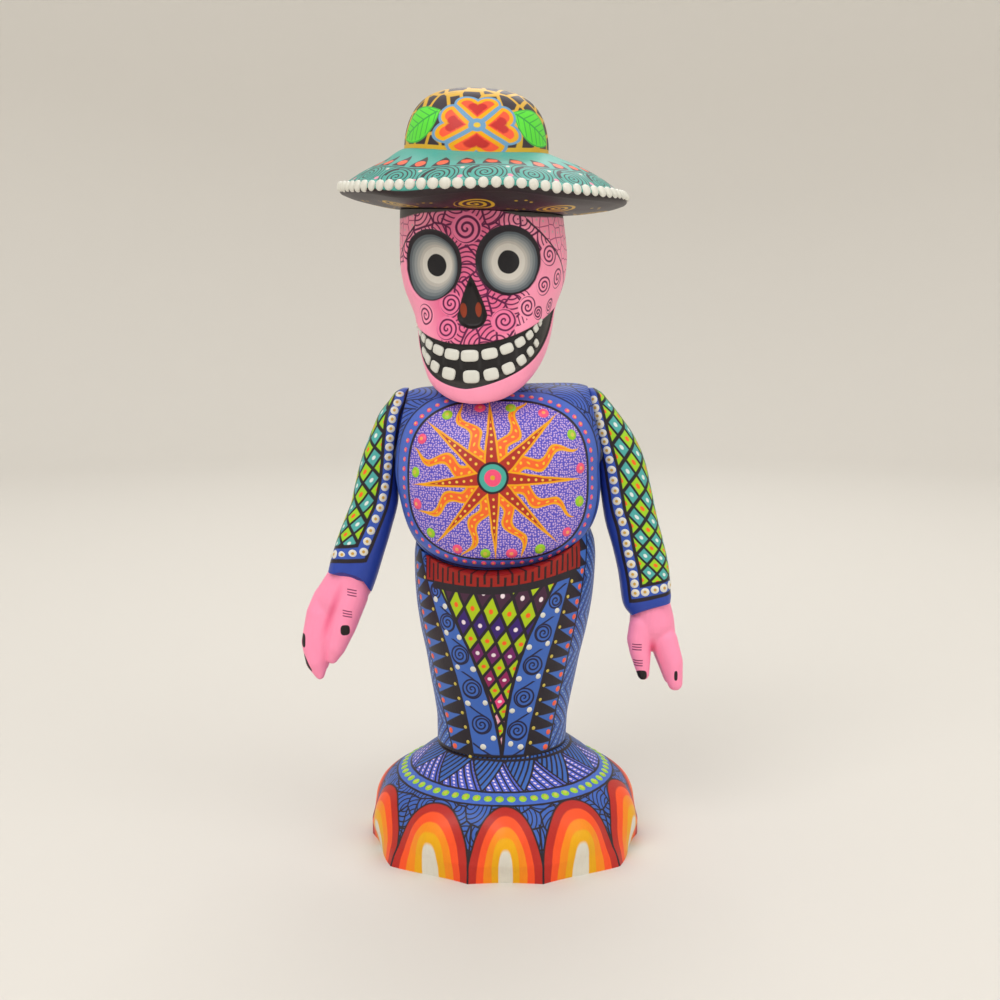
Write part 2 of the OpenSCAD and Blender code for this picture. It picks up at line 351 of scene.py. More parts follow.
def stroke(distance, width, edge=0.25):
    """A brush line along the places where a distance is zero."""
    return calc("MULTIPLY_ADD", abs(distance), -1.0 / edge, 0.5 + width / 2 / edge, clamp=True)


def any_of(*masks):
    return most(*masks)


def all_of(*masks):
    return least(*masks)


def choose(test, yes, no):
    """Between two numbers, by a mask."""
    return no + (yes - no) * test


def paint_rgb(code):
    """Linear colour of an sRGB code such as 'ff9fbc'."""
    c = np.array([int(code[i:i + 2], 16) for i in (0, 2, 4)]) / 255
    lin = np.where(c <= 0.04045, c / 12.92, ((c + 0.055) / 1.055) ** 2.4)
    return (*lin.tolist(), 1.0)


class Sheet:
    """One material, painted in layers."""

    def __init__(self, name):
        self.material = bpy.data.materials.new(name)
        self.material.use_nodes = True
        self.tree = self.material.node_tree
        self.tree.nodes.clear()
        self.colour = None

    def node(self, kind, **settings):
        n = self.tree.nodes.new(kind)
        for key, value in settings.items():
            setattr(n, key, value)
        return n

    def link(self, value, socket):
        if isinstance(value, Value):
            value = value.socket
        if isinstance(value, bpy.types.NodeSocket):
            self.tree.links.new(value, socket)
        else:
            socket.default_value = value

    def math(self, operation, *values, clamp=False):
        n = self.node("ShaderNodeMath", operation=operation, use_clamp=clamp)
        for value, socket in zip(values, n.inputs):
            self.link(value, socket)
        return Value(self, n.outputs[0])

    def coordinates(self):
        """The three numbers of the piece's paint attribute."""
        n = self.node("ShaderNodeAttribute", attribute_name="paint")
        s = self.node("ShaderNodeSeparateXYZ")
        self.link(n.outputs["Vector"], s.inputs[0])
        return [Value(self, o) for o in s.outputs]

    def place(self):
        """Position in the row frame, in millimetres."""
        n = self.node("ShaderNodeTexCoord")
        v = self.node("ShaderNodeVectorMath", operation="SCALE")
        self.link(n.outputs["Object"], v.inputs[0])
        v.inputs["Scale"].default_value = 1 / MM
        return v.outputs[0]

    def vector(self, x, y, z):
        n = self.node("ShaderNodeCombineXYZ")
        for value, socket in zip((x, y, z), n.inputs):
            self.link(value, socket)
        return n.outputs[0]

    def stretch(self, vector, factors):
        n = self.node("ShaderNodeVectorMath", operation="MULTIPLY")
        self.link(vector, n.inputs[0])
        n.inputs[1].default_value = factors
        return n.outputs[0]

    def noise(self, vector, size, detail):
        """Noise about 0.5 with features of that size in the vector's own units."""
        n = self.node("ShaderNodeTexNoise")
        self.link(vector, n.inputs["Vector"])
        n.inputs["Scale"].default_value = 1 / size
        n.inputs["Detail"].default_value = detail
        return Value(self, n.outputs[0])

    def cells(self, x, y, size, random, feature="F1", z=None):
        """Outputs of a Voronoi node with cells of that size, flat unless z is given."""
        flat = z is None
        n = self.node("ShaderNodeTexVoronoi", voronoi_dimensions="2D" if flat else "3D", feature=feature)
        self.link(self.vector(x, y, 0.0 if flat else z), n.inputs["Vector"])
        n.inputs["Scale"].default_value = 1 / size
        n.inputs["Randomness"].default_value = random
        return n.outputs

    def to_border(self, x, y, size, random, z=None):
        """Distance to the nearest border between such cells."""
        return Value(self, self.cells(x, y, size, random, "DISTANCE_TO_EDGE", z)["Distance"]) * size

    def split(self, vector):
        n = self.node("ShaderNodeSeparateXYZ")
        self.link(vector, n.inputs[0])
        return [Value(self, o) for o in n.outputs]

    def ground(self, code):
        self.colour = paint_rgb(code)

    def lay(self, code, *masks):
        """Paints a colour, or a painted layer, over what is there, where all masks are."""
        mask = all_of(*masks)
        n = self.node("ShaderNodeMix", data_type="RGBA")
        factor, under, over = n.inputs[0], n.inputs[6], n.inputs[7]
        self.link(mask, factor)
        self.link(self.colour, under)
        self.link(paint_rgb(code) if isinstance(code, str) else code, over)
        self.colour = n.outputs[2]

    def lay_layer(self, mask, ground, painter):
        """Paints a layer that starts on a ground of its own, through one mask."""
        under = self.colour
        self.ground(ground)
        painter()
        layer, self.colour = self.colour, under
        self.lay(layer, mask)

    def finish(self, rough=0.46, coat=0.06, grain=0.0):
        """Acrylic paint on sanded wood under a satin varnish: uneven, slightly rippled."""
        place = self.place()
        cloudy = self.noise(place, 9, 3)
        streaks = self.noise(self.stretch(place, (1, 1, 0.12)), 0.7, 2)
        uneven = self.node("ShaderNodeHueSaturation")
        self.link(self.colour, uneven.inputs["Color"])
        self.link(0.9 + cloudy * 0.12 + streaks * (0.08 + grain), uneven.inputs["Value"])
        shader = self.node("ShaderNodeBsdfPrincipled")
        self.link(uneven.outputs[0], shader.inputs["Base Color"])
        self.link(rough - 0.06 + cloudy * 0.12, shader.inputs["Roughness"])
        shader.inputs["Specular IOR Level"].default_value = 0.3
        shader.inputs["Coat Weight"].default_value = coat
        shader.inputs["Coat Roughness"].default_value = 0.28
        fine = self.noise(place, 0.9, 3) + streaks * 0.8 + cloudy * 1.5
        ripple = self.node("ShaderNodeBump")
        ripple.inputs["Strength"].default_value = 0.12
        ripple.inputs["Distance"].default_value = 0.4 * MM
        self.link(fine, ripple.inputs["Height"])
        self.link(ripple.outputs[0], shader.inputs["Normal"])
        out = self.node("ShaderNodeOutputMaterial")
        self.link(shader.outputs[0], out.inputs["Surface"])
        return self.material


# ---- the object's own sizes, in millimetres ----

PETALS = 10
FOOT_H = box_mm("base")[1][2]
FOOT_R = 54.5
HEM_FLARE = 1.55
FRONT_NARROWING = math.radians(5)
DOWEL_R = 5
DOWEL_HALF = 15
TORSO_X, TORSO_Y, TORSO_Z = -2.6, -3.5, 148
WAIST_LEAN = math.radians(8)
SEAT_R, SEAT_LOW = 64, 33
HEAD_ORIGIN, _ = joint_place("head_turn")
HAT_ORIGIN, HAT_AXIS = joint_place("hat_turn")
HAT_TILT = math.atan2(HAT_AXIS[0], HAT_AXIS[2])
FACE_TURN, HEAD_LEAN = math.radians(10), math.radians(3)
EYE_Z = 230
FACE_GAP = 0.3

# Foot: share of its radius, share of its height, lobe of the petals.
FOOT_PROFILE = [(1, 0, -1), (0.998, 0.1, -0.55), (0.992, 0.22, 0.25), (0.975, 0.36, 0.7),
                (0.938, 0.49, 0.6), (0.88, 0.6, 0.28), (0.8, 0.685, 0.08), (0.72, 0.745, 0),
                (0.6, 0.87, 0), (0.47, 1, 0)]
# Skull: height, half-width as a share of SKULL_A, front and back from the neck's axis.
SKULL_A = 32.2
SKULL = [(178.6, 0.10, 29.5, -23.5), (179.6, 0.27, 30.8, -19.5), (182.5, 0.45, 31.6, -14),
         (187, 0.60, 32, -5), (192, 0.69, 32.2, 8), (198, 0.755, 31.8, 17),
         (205, 0.80, 31.2, 22.5), (211, 0.825, 30.6, 26.5), (214.5, 0.86, 30.4, 28),
         (218, 0.905, 30.2, 29.2), (224, 0.965, 29.8, 30.4), (233, 0.995, 29.8, 31),
         (242, 0.98, 29.9, 31), (252, 0.955, 30, 30.4)]
# Sleeves: height, distance from the torso's middle plane, half-width, forward reach, half-depth, tilt.
RIGHT_SLEEVE = [(182.2, 36.4, 1.2, 0, 2.5, 0), (180.9, 37.6, 2.6, 0, 4.7, 0),
                (178.2, 38.4, 4, 0, 7.4, 0), (172.8, 41.2, 5.4, 0, 9.6, 0),
                (165.3, 43.8, 6.2, 0, 10.8, 0), (156, 46.4, 7.2, 0, 11.2, 0),
                (147, 48, 8, 0.3, 11.2, 2), (138.4, 48.8, 9, 1, 10.9, 4),
                (129, 51.6, 9.4, 2.2, 10.6, 12), (120, 54.6, 9.7, 3.6, 10.3, 20),
                (111.5, 57.2, 9.8, 4.8, 10, 25), (106.2, 58.8, 9.6, 5.6, 9.6, 28)]
LEFT_SLEEVE = [(182.2, 36.4, 1.2, 0, 2.5, 0), (180.7, 37.4, 2.8, 0, 5, 0),
               (177, 38.9, 4.6, 0, 7.6, 0), (171, 41.8, 6.4, 0, 9.8, 0),
               (164, 45, 8, 0, 11, 0), (154.6, 48, 9.3, 0, 11.4, 1),
               (143.5, 50.1, 9.9, 0.4, 11.3, 3), (131, 52.4, 10.2, 1.2, 11, 7),
               (120, 55.4, 10, 2.2, 10.6, 11), (110, 57.6, 10, 3.2, 10.2, 13),
               (99.2, 58.9, 9.7, 4.2, 9.9, 15), (95.4, 60.3, 8.4, 4.8, 8.8, 21)]


# ---- foot ----

def petal_turn(a):
    """Angle that a would have if the petals were even: those in front are narrower."""
    away = np.abs(a)
    shift = FRONT_NARROWING * (1 - np.exp(-away / math.radians(15))) * (1 - away / PI)
    return a + np.sign(a) * shift


def foot_at(a, k):
    """A point of the foot at angle a and index k of its profile, 0 at the hem."""
    share, height, lobe = columns_through(FOOT_PROFILE, k)
    local = from_whole(petal_turn(a) * PETALS / (2 * PI))
    turned = np.degrees(np.abs(a))
    # The hem is scooped in between the petals' corners, and reaches out a little more
    # beside the front than at the front and at the sides.
    chord = HEM_FLARE * (8 * local ** 2 - 1) - 0.9
    chord = chord + 2.4 * rise_up(turned, 15, 48) - 3.2 * rise_up(turned, 54, 82)
    r = FOOT_R * share + np.where(lobe < 0, -lobe * chord, lobe * 2 * np.cos(2 * PI * local))
    return polar(r, a, FOOT_H * height)


def bored(top, z_floor, hole_r):
    """Rows that go on from a top ring over a flat seat and down a dowel's hole."""
    a = around(top.shape[1] - 1)
    z = top[-1, :, 2]
    rim = polar(hole_r, a, z)
    seat = [top[-1] + (rim - top[-1]) * s for s in (0.03, 0.5, 0.97, 1)]
    wall = [np.stack([rim[:, 0], rim[:, 1], z + (z_floor - z) * s], -1) for s in (0.03, 0.97, 1)]
    tip = polar(hole_r * 0.5, a, z_floor)
    return np.concatenate([top, seat, wall, [tip]])


def make_foot(materials, extra):
    """The petalled foot, with its dowel's hole."""
    a = around(360)
    k = np.linspace(0, len(FOOT_PROFILE) - 1, 100)
    side = foot_at(a[None], k[:, None])
    run = lengths(side)
    front = len(a) // 2
    run = run + run[-1, front] - run[-1:]
    points = bored(side, FOOT_H - DOWEL_HALF, DOWEL_R)
    run = np.concatenate([run, np.repeat(run[-1:], len(points) - len(side), 0)])
    unit = np.broadcast_to(petal_turn(a) * PETALS / (2 * PI), run.shape)
    paint = np.stack([unit, run, run * 0], -1)
    piece("painted_foot", [shell(points, paint), *extra], "figure", materials, "base")


# ---- skirt ----

def seat_z(x):
    """Height of the trough that the torso sits in."""
    cx = TORSO_X - (SEAT_R - SEAT_LOW) * math.sin(WAIST_LEAN)
    cz = TORSO_Z + (SEAT_R - SEAT_LOW) * math.cos(WAIST_LEAN)
    return cz - np.sqrt(np.maximum(SEAT_R ** 2 - (x - cx) ** 2, 0))


SKIRT_RADIUS = [(40, 26), (50, 26.3), (57, 27.3), (66, 29), (76, 30.8), (88, 33.4), (100, 35.2), (108, 35.8),
                (116, 36), (122, 35.4), (126, 34), (129, 32.2), (132, 30)]


def skirt_ring(a, z):
    return polar(through(SKIRT_RADIUS, z), a, z, (-1.4 + 1.4 * (z - FOOT_H) / 80, 0))


def skirt_rim(a):
    """Height where the skirt's side meets the torso's seat."""
    z = np.full(np.shape(a), 120.0)
    for _ in range(12):
        z = 0.5 * z + 0.5 * np.minimum(seat_z(skirt_ring(a, z)[..., 0]), 131)
    return z


def skirt_at(a, t):
    """A point of the skirt's side, t from 0 at the foot to 1 at its rim."""
    return skirt_ring(a, FOOT_H + (skirt_rim(a) - FOOT_H) * t)


def make_skirt(materials, extra):
    """The skirt, with the trough and the dowel's hole in its top."""
    a = around(280)
    # The last rows crowd at the rim and turn back a little under its edge.
    crowd = 1 - 0.015 * np.cos(np.linspace(0.2, 1.4, 5) * PI / 2) ** 2
    t = np.concatenate([np.linspace(0, 0.985, 120), crowd])
    side = skirt_at(a[None], t[:, None])
    rim = side[-1]
    hole = polar(DOWEL_R, a, 0, (TORSO_X, 0))
    seat = []
    for s in (0.02, 0.1, 0.3, 0.5, 0.7, 0.9, 1):
        flat = rim + (hole - rim) * s
        seat.append(np.stack([flat[:, 0], flat[:, 1], np.maximum(seat_z(flat[:, 0]), 0)], -1))
    pit = [np.stack([hole[:, 0], hole[:, 1], np.full(len(a), z)], -1) for z in (112, 100.4)]
    points = np.concatenate([side, seat, pit])
    z = points[..., 2]
    folded = np.where(np.abs(a) > PI / 2, np.sign(a) * (PI - np.abs(a)), a)
    x = folded[None] * through(SKIRT_RADIUS, z)
    paint = np.stack([x, z, skirt_rim(a)[None] - z], -1)
    piece("painted_skirt", [shell(points, paint), *extra], "figure", materials, "skirt")


# ---- torso ----

BELLY_N, YOKE_N, DEPTH_N, SIDE_N = 2.6, 8.5, 2.5, 4
TOP_LEAN = math.radians(1.5)
CHEST_A, CHEST_B, CHEST_LOW, CHEST_TOP = 39.4, 31, 36, 36
SHOULDER_X, SHOULDER_Z = 38, 168
FACET_LEAN = math.radians(12.5)
PANEL_X, PANEL_Z, PANEL_A, PANEL_B, PANEL_N = -2.8, 149.5, 34.1, 29.6, 2.8
SUN_X, SUN_Z = -4.8, 151.4
# Neck: radius and height, up its side, over its flat top and down the peg's hole.
NECK = [(17.5, 178), (17.2, 179), (13.7, 189.4), (13.2, 190), (4.5, 190), (4, 189.5), (4, 182), (2, 182)]


def closing(s, n):
    return np.maximum(0, 1 - np.abs(s) ** n) ** (1 / n)


def torso_at(a, q):
    """A point of the torso's carved body. q is an angle from -90 at the seat to 90."""
    a, q = np.broadcast_arrays(a, q)
    s = np.sin(q)
    low = s < 0
    lean = np.where(low, WAIST_LEAN, WAIST_LEAN + (TOP_LEAN - WAIST_LEAN) * s)
    rise = s * np.where(low, CHEST_LOW, CHEST_TOP)
    half = CHEST_A * np.where(low, closing(s, BELLY_N), closing(s, YOKE_N))
    half = half + 1.1 * np.exp(-((rise - 7) / 7) ** 2)
    deep = CHEST_B * np.where(low, closing(s, SIDE_N), closing(s, 2))
    u = half * signed_power(np.sin(a), 2 / DEPTH_N)
    v = -deep * signed_power(np.cos(a), 2 / DEPTH_N)
    x = TORSO_X - np.where(low, rise, rise / 3) * np.sin(lean) + u * np.cos(lean)
    z = TORSO_Z + rise * np.cos(lean) + u * np.sin(lean)
    z = np.maximum(z, seat_z(x) + 0.02)
    cos_f, sin_f = math.cos(FACET_LEAN), math.sin(FACET_LEAN)
    for side in (1, -1):
        out = (side * (x - TORSO_X) - SHOULDER_X) * cos_f + (z - SHOULDER_Z) * sin_f
        x = x - side * np.maximum(out, 0) / cos_f
    return np.stack([x, TORSO_Y + v, z], -1)


def chest_paint(points):
    """Position round the sun's middle along the chest, and how near the panel's edge."""
    front_y = torso_at(np.array(0.0), np.array(0.0))[1] + 0.3
    away = np.linalg.norm(points - np.array([SUN_X, front_y, SUN_Z]), axis=-1)
    dx, dz = points[..., 0] - SUN_X, points[..., 2] - SUN_Z
    flat = np.maximum(np.hypot(dx, dz), 1e-6)
    px, pz = (points[..., 0] - PANEL_X) / PANEL_A, (points[..., 2] - PANEL_Z) / PANEL_B
    rho = (np.abs(px) ** PANEL_N + np.abs(pz) ** PANEL_N) ** (1 / PANEL_N)
    rim = (rho - 1) * PANEL_B + soft(TORSO_Y - 12, TORSO_Y - 2, points[..., 1]) * 40
    return np.stack([dx / flat * away, dz / flat * away, rim], -1)


def make_torso(materials, extra):
    """The chest, and the neck's stump on top of it."""
    a = around(300)
    q = np.radians(np.linspace(-84, 88.5, 170))
    body = torso_at(a[None], q[:, None])
    neck_a = around(96)
    neck = np.stack([polar(r, neck_a, z, HEAD_ORIGIN[:2]) for r, z in NECK])
    shells = [shell(body, chest_paint(body)), shell(neck, neck, 1), *extra]
    piece("painted_torso", shells, "figure", materials, "torso")


# ---- head ----

def face_to_row(points):
    """From the face's own frame, which looks along -Y, to where the head stands."""
    centre = np.array([HEAD_ORIGIN[0], HEAD_ORIGIN[1], EYE_Z])
    moved = points + np.array([HEAD_ORIGIN[0], HEAD_ORIGIN[1], 0])
    leaned = turn(moved, centre, (0, 1, 0), -HEAD_LEAN)
    return turn(leaned, centre, (0, 0, 1), -FACE_TURN)


# Sockets: middle, half-width and half-height.
EYES = [(-16.4, 230.7, 13.5, 13.2), (15.2, 230.8, 12.7, 12.8)]
NOSE_X, NOSE_TOP, NOSE_WIDEST, NOSE_LOW, NOSE_HALF = 0.3, 225.5, 211.5, 206.5, 5.4
# The grin's lower edge: its lowest point, its rise to the right and the left, and their power.
GRIN_X, GRIN_LOW, GRIN_RIGHT, GRIN_LEFT, GRIN_POWER = -3, 184.4, 0.072, 0.0475, 1.6
# The grin's upper edge: its height in the middle, how far it rises, and how wide it is.
LIP_Z, LIP_RISE, LIP_WIDE = 200.8, 12.5, 32


def skull_at(a, k):
    """A point of the uncarved skull in the face's frame."""
    z, half, front, back = columns_through(SKULL, k)
    a, z, half, front, back = np.broadcast_arrays(a, z, half, front, back)
    x = SKULL_A * half * signed_power(np.sin(a), 2 / 2.3)
    y = (back - front) / 2 - (back + front) / 2 * signed_power(np.cos(a), 2 / 2.3)
    return np.stack([x, y, z], -1)


def face_plan(points):
    """Flat coordinates of the face: how far round the skull, and height."""
    round_r = 30.5
    return np.arctan2(points[..., 0], -points[..., 1]) * round_r, points[..., 2]


def mouth_field(x, z):
    """Negative inside the grin: below its upper edge and above its lower one."""
    upper = LIP_Z + LIP_RISE * (1 - np.exp(-(x / LIP_WIDE) ** 2))
    lower = GRIN_LOW + np.where(x < GRIN_X, GRIN_RIGHT, GRIN_LEFT) * np.abs(x - GRIN_X) ** GRIN_POWER
    return np.maximum(z - upper, lower - z)


def nose_field(x, z):
    """Negative inside the nose, which narrows upwards and is round below."""
    high = NOSE_HALF * np.clip((NOSE_TOP - z) / (NOSE_TOP - NOSE_WIDEST), 0, 1) ** 0.8
    drop = (NOSE_WIDEST - z) / (NOSE_WIDEST - NOSE_LOW)
    low = NOSE_HALF * np.sqrt(np.clip(1 - drop ** 2, 0, 1))
    return np.abs(x - NOSE_X) - np.where(z > NOSE_WIDEST, high, low)


def carve_face(points):
    """Sinks the sockets, the nose and the grin into the skull."""
    x, z = face_plan(points)
    depth = np.zeros_like(x)
    for ex, ez, ea, eb in EYES:
        d = np.hypot((x - ex) / ea, (z - ez) / eb)
        depth += 1.5 * soft(1.06, 0.93, d) + 1.4 * soft(1.0, 0.0, d)
        depth -= 1.3 * soft(0.62, 0.1, d)
    ends = soft(NOSE_LOW - 0.5, NOSE_LOW + 1.5, z) * soft(NOSE_TOP, NOSE_TOP - 3, z)
    depth += 1.6 * soft(0.4, -1.6, nose_field(x, z)) * ends
    depth += 0.9 * soft(0.3, -0.7, mouth_field(x, z)) * (points[..., 1] < 8)
    inward = -np.stack([points[..., 0], points[..., 1], 0 * z], -1)
    inward /= np.maximum(np.linalg.norm(inward, axis=-1), 1)[..., None]
    return points + inward * depth[..., None] * soft(14, 0, points[..., 1])[..., None]


# Lowest height of the skull by distance from the neck's axis: a seat, a step and free.
NECK_SOCKET = [(0, HEAD_ORIGIN[2] + FACE_GAP), (15.2, HEAD_ORIGIN[2] + FACE_GAP), (15.8, 186),
               (20.8, 186), (21.3, 150)]


def make_head(materials, extra):
    """The skull, cut to the neck below and to the hat's tilted seat above."""
    a = around(360)
    k = np.linspace(0, len(SKULL) - 1, 230)
    raw = skull_at(a[None], k[:, None])
    x, z = face_plan(raw)
    points = face_to_row(carve_face(raw))
    low = through(NECK_SOCKET, np.hypot(points[..., 0] - HEAD_ORIGIN[0], points[..., 1]))
    points[..., 2] = np.maximum(points[..., 2], np.where(low > 160, low, 0))
    seat = HAT_ORIGIN[2] - (points[..., 0] - HAT_ORIGIN[0]) * math.tan(HAT_TILT)
    points[..., 2] = np.minimum(points[..., 2], seat)
    back = soft(-4, 12, raw[..., 1]) * 60
    paint = np.stack([x, z, back], -1)
    piece("painted_skull", [shell(points, paint), *extra], "head", materials, "head")


# ---- hat ----

HAT_SHIFT, CROWN_SHIFT = 0.4, 3.6
CROWN_R, CROWN_FOOT, CROWN_H, CROWN_SUNK = 27.6, 23.2, 22.8, 3
BRIM_R, RIM_R, RIM_Z = 55.2, 2.5, 6.9
RIM_TILTS = np.radians((-60, -20, 20, 60))
# Radius and height over the seat: the peg's hole and the flat seat, the brim's underside
# from there outwards, and the brim's top from its rim inwards to the crown.
HAT_COLLAR = [(2, 11.5), (4.1, 11.5), (4.1, 0.8), (4.6, FACE_GAP), (18, FACE_GAP), (31, FACE_GAP)]
BRIM_UNDER = [(31.4, 0.3), (37.4, 0.8), (49.2, 3.0), (52.9, 4.3)]
BRIM_TOP = [(52.7, 9.4), (47.2, 13.2), (37.2, 18.6), (31, 21.6), (28.6, 22.7)]
# Length along that outline, from the hole, where the underside's colour ends.
BRIM_EDGE = 66.2


def hat_to_row(points):
    """From the hat's own frame, with its seat at the origin, to the head."""
    return turn(points + HAT_ORIGIN, HAT_ORIGIN, (0, 1, 0), HAT_TILT)


def brim_wave(a, r):
    """How far the hand-carved brim rises and dips."""
    deg = np.degrees(a)
    dip = -2.0 * np.exp(-((deg + 31) / 15) ** 2) + 1.4 * np.exp(-((deg - 9) / 17) ** 2)
    back = 0.8 * np.sin(3 * a + 1) * soft(60, 110, np.abs(deg))
    return (dip + back) * soft(31, BRIM_R, r)


def front_dip(a):
    """How far the line between brim and crown dips in front."""
    return 1.9 * np.exp(-(np.degrees(a) / 45) ** 2)


def brim_at(a, t):
    """A point of the brim, t from 0 under the collar over the rim to 1 at the crown."""
    edge = [(BRIM_R - RIM_R + RIM_R * math.cos(q), RIM_Z + RIM_R * math.sin(q)) for q in RIM_TILTS]
    table = BRIM_UNDER + edge + BRIM_TOP
    r, z = columns_through(table, np.asarray(t, float) * (len(table) - 1))
    a, r, z = np.broadcast_arrays(a, r, z)
    shift = HAT_SHIFT + (CROWN_SHIFT - HAT_SHIFT) * soft(40, 28, r) * soft(12, 20, z)
    p = polar(r, a, z + brim_wave(a, r) - front_dip(a) * soft(42, 32, r) * soft(12, 18, z))
    p[..., 0] -= shift
    return hat_to_row(p)


def crown_radius(t):
    return CROWN_R * np.cos(t * PI / 2 * 0.985) ** 0.62


def crown_at(a, t):
    """A point of the crown, t from 0 at its foot to 1 at its top."""
    q = np.asarray(t, float) * PI / 2
    r = crown_radius(np.asarray(t, float))
    z = CROWN_FOOT + CROWN_H * np.sin(q) ** 0.92
    a, r, z = np.broadcast_arrays(a, r, z)
    z = z - front_dip(a) * np.cos(q) ** 2
    return hat_to_row(polar(r, a, z, (-CROWN_SHIFT, 0)))


def hat_collar(a):
    """The peg's hole and the flat seat under the hat."""
    return np.stack([hat_to_row(polar(r, a, z)) for r, z in HAT_COLLAR])


def make_hat(materials, extra):
    """The brim with the seat under it, and the crown, sunk a little into the brim."""
    a = around(360)
    under = np.concatenate([hat_collar(a), brim_at(a[None], np.linspace(0, 1, 110)[:, None])])
    local = under - hat_to_row(np.array([-HAT_SHIFT, 0, 0.0]))
    r = np.hypot(local[..., 0], local[..., 1])
    brim = shell(under, np.stack([np.broadcast_to(a, r.shape), lengths(under), r], -1))
    t = np.linspace(0, 1, 80)[:, None]
    crown = np.concatenate([crown_at(a[None], t[:1]) - [0, 0, CROWN_SUNK], crown_at(a[None], t)])
    run = lengths(crown) - CROWN_SUNK
    around_mm = a[None] * crown_radius(np.concatenate([t[:1], t]))
    top = shell(crown, np.stack([around_mm, run, run * 0], -1), 1)
    piece("painted_hat", [brim, top, *extra], "hat", materials, "hat")


# ---- arms ----

def sleeve_at(rings, side, arch=0.0):
    """The surface of one sleeve: angle round it, and index of its rings, downwards.
    An arch raises the front of the cuff."""
    pivot = np.array([TORSO_X + side * SHOULDER_X, 0, SHOULDER_Z])
    normal = np.array([side * math.cos(FACET_LEAN), 0, math.sin(FACET_LEAN)])

    def place(a, k):
        z, away, half, ahead, deep, tilt = columns_through(rings, k)
        a, z, away, half, ahead, deep, tilt = np.broadcast_arrays(a, z, away, half, ahead, deep, tilt)
        u = half * signed_power(np.sin(a), 2 / 3)
        v = -deep * signed_power(np.cos(a), 2 / 3)
        x = away + u * np.cos(np.radians(tilt))
        z = z + arch * np.exp(-((a + 0.3) / 0.8) ** 2) * soft(7.5, 11, k)
        p = np.stack([TORSO_X + side * x, v - ahead, z + u * np.sin(np.radians(tilt))], -1)
        gap = (p - pivot) @ normal - FACE_GAP
        off = np.linalg.norm((p - pivot) - gap[..., None] * normal, axis=-1)
        push = np.maximum(-gap, 0) * soft(16.5, 13, off)
        return p + push[..., None] * normal
    return place


def make_sleeve(name, rings, side, arch, node, body, materials, extra):
    """One sleeve, closed at both ends, with its outer side's run and a folded girth as paint."""
    place = sleeve_at(rings, side, arch)
    quarter = 35
    inner, front, outer = quarter, 2 * quarter, 3 * quarter
    a = around(4 * quarter)
    k = np.linspace(len(rings) - 1, 0, 190)
    points = place(a[None], k[:, None])
    girth = lengths(points, 1)
    girth = girth - girth[:, front:front + 1]
    # The back half repeats the front one.
    column = np.arange(len(a))
    column = np.where(column > outer, 2 * outer - column, column)
    column = np.where(column < inner, 2 * inner - column, column)
    girth = girth[:, column]
    lift = points[..., 2] - sleeve_at(rings, side)(a[None], k[:, None])[..., 2]
    run = lengths(points)[:, outer:outer + 1] + lift
    paint = np.stack([girth, run, run * 0], -1)
    if side < 0:
        points = points[:, ::-1]
        paint = paint[:, ::-1]
    piece(name, [shell(points, paint), *extra], body, materials, node)


# ---- hands ----

def ball_hull(balls, mirror):
    """Points of a hull over balls [distance from the middle plane, y, z, radius]."""
    bm = bmesh.new()
    for x, y, z, r in balls:
        made = bmesh.ops.create_uvsphere(bm, u_segments=20, v_segments=12, radius=r * MM)
        for v in made["verts"]:
            v.co += Vector(((TORSO_X + mirror * x) * MM, y * MM, z * MM))
    hull = bmesh.ops.convex_hull(bm, input=bm.verts)
    spare = [g for g in hull["geom_interior"] + hull["geom_unused"] if isinstance(g, bmesh.types.BMVert)]
    bmesh.ops.delete(bm, geom=spare, context="VERTS")
    return bm


# Each hand's limbs: the palm, the thumb and the fingers, in two groups. A limb is a hull
# round balls: distance from the middle plane, y, z, radius.
RIGHT_HAND = [[(58.0, -5.6, 109, 8.6), (58.2, -5.6, 106, 8.6), (63.8, -4.5, 98.5, 9.4),
               (67.6, -3, 89, 8.4)],
              [(57.6, -8.8, 101, 6.2), (61.2, -11, 89.5, 5.2), (64.2, -12, 80.8, 3.8),
               (65.8, -12, 76.4, 2.3)],
              [(67.2, -4, 98, 7), (69.6, -6, 92.4, 7), (73.6, -8, 82, 4.8), (72.4, -10, 74.6, 4.2),
               (70.9, -11, 69.3, 1.9)],
              [(70, 2, 90, 7), (74.2, 1, 80.4, 4.8), (71.6, -2, 71.6, 3.4)]]
LEFT_HAND = [[(60.3, -4.8, 98, 7.6), (61.2, -4, 89, 9), (63.5, -3, 83.8, 7.4)],
             [(56.4, -8, 88.4, 4.8), (55.6, -9, 83.5, 4.8), (55.8, -10, 78.6, 3.9), (57.4, -11, 69.6, 2.4)],
             [(66, -7, 82.6, 5.2), (69, -9, 74, 4.3), (70.2, -10, 65.6, 3)],
             [(66, 2, 81, 5.6), (69, 3, 72, 4.5), (70, 2, 65, 3.2)]]
# How far a wrist goes into its cuff, and the grain at which its limbs melt together.
WRIST_DEEP, MELT_VOXEL = 5.5, 0.5


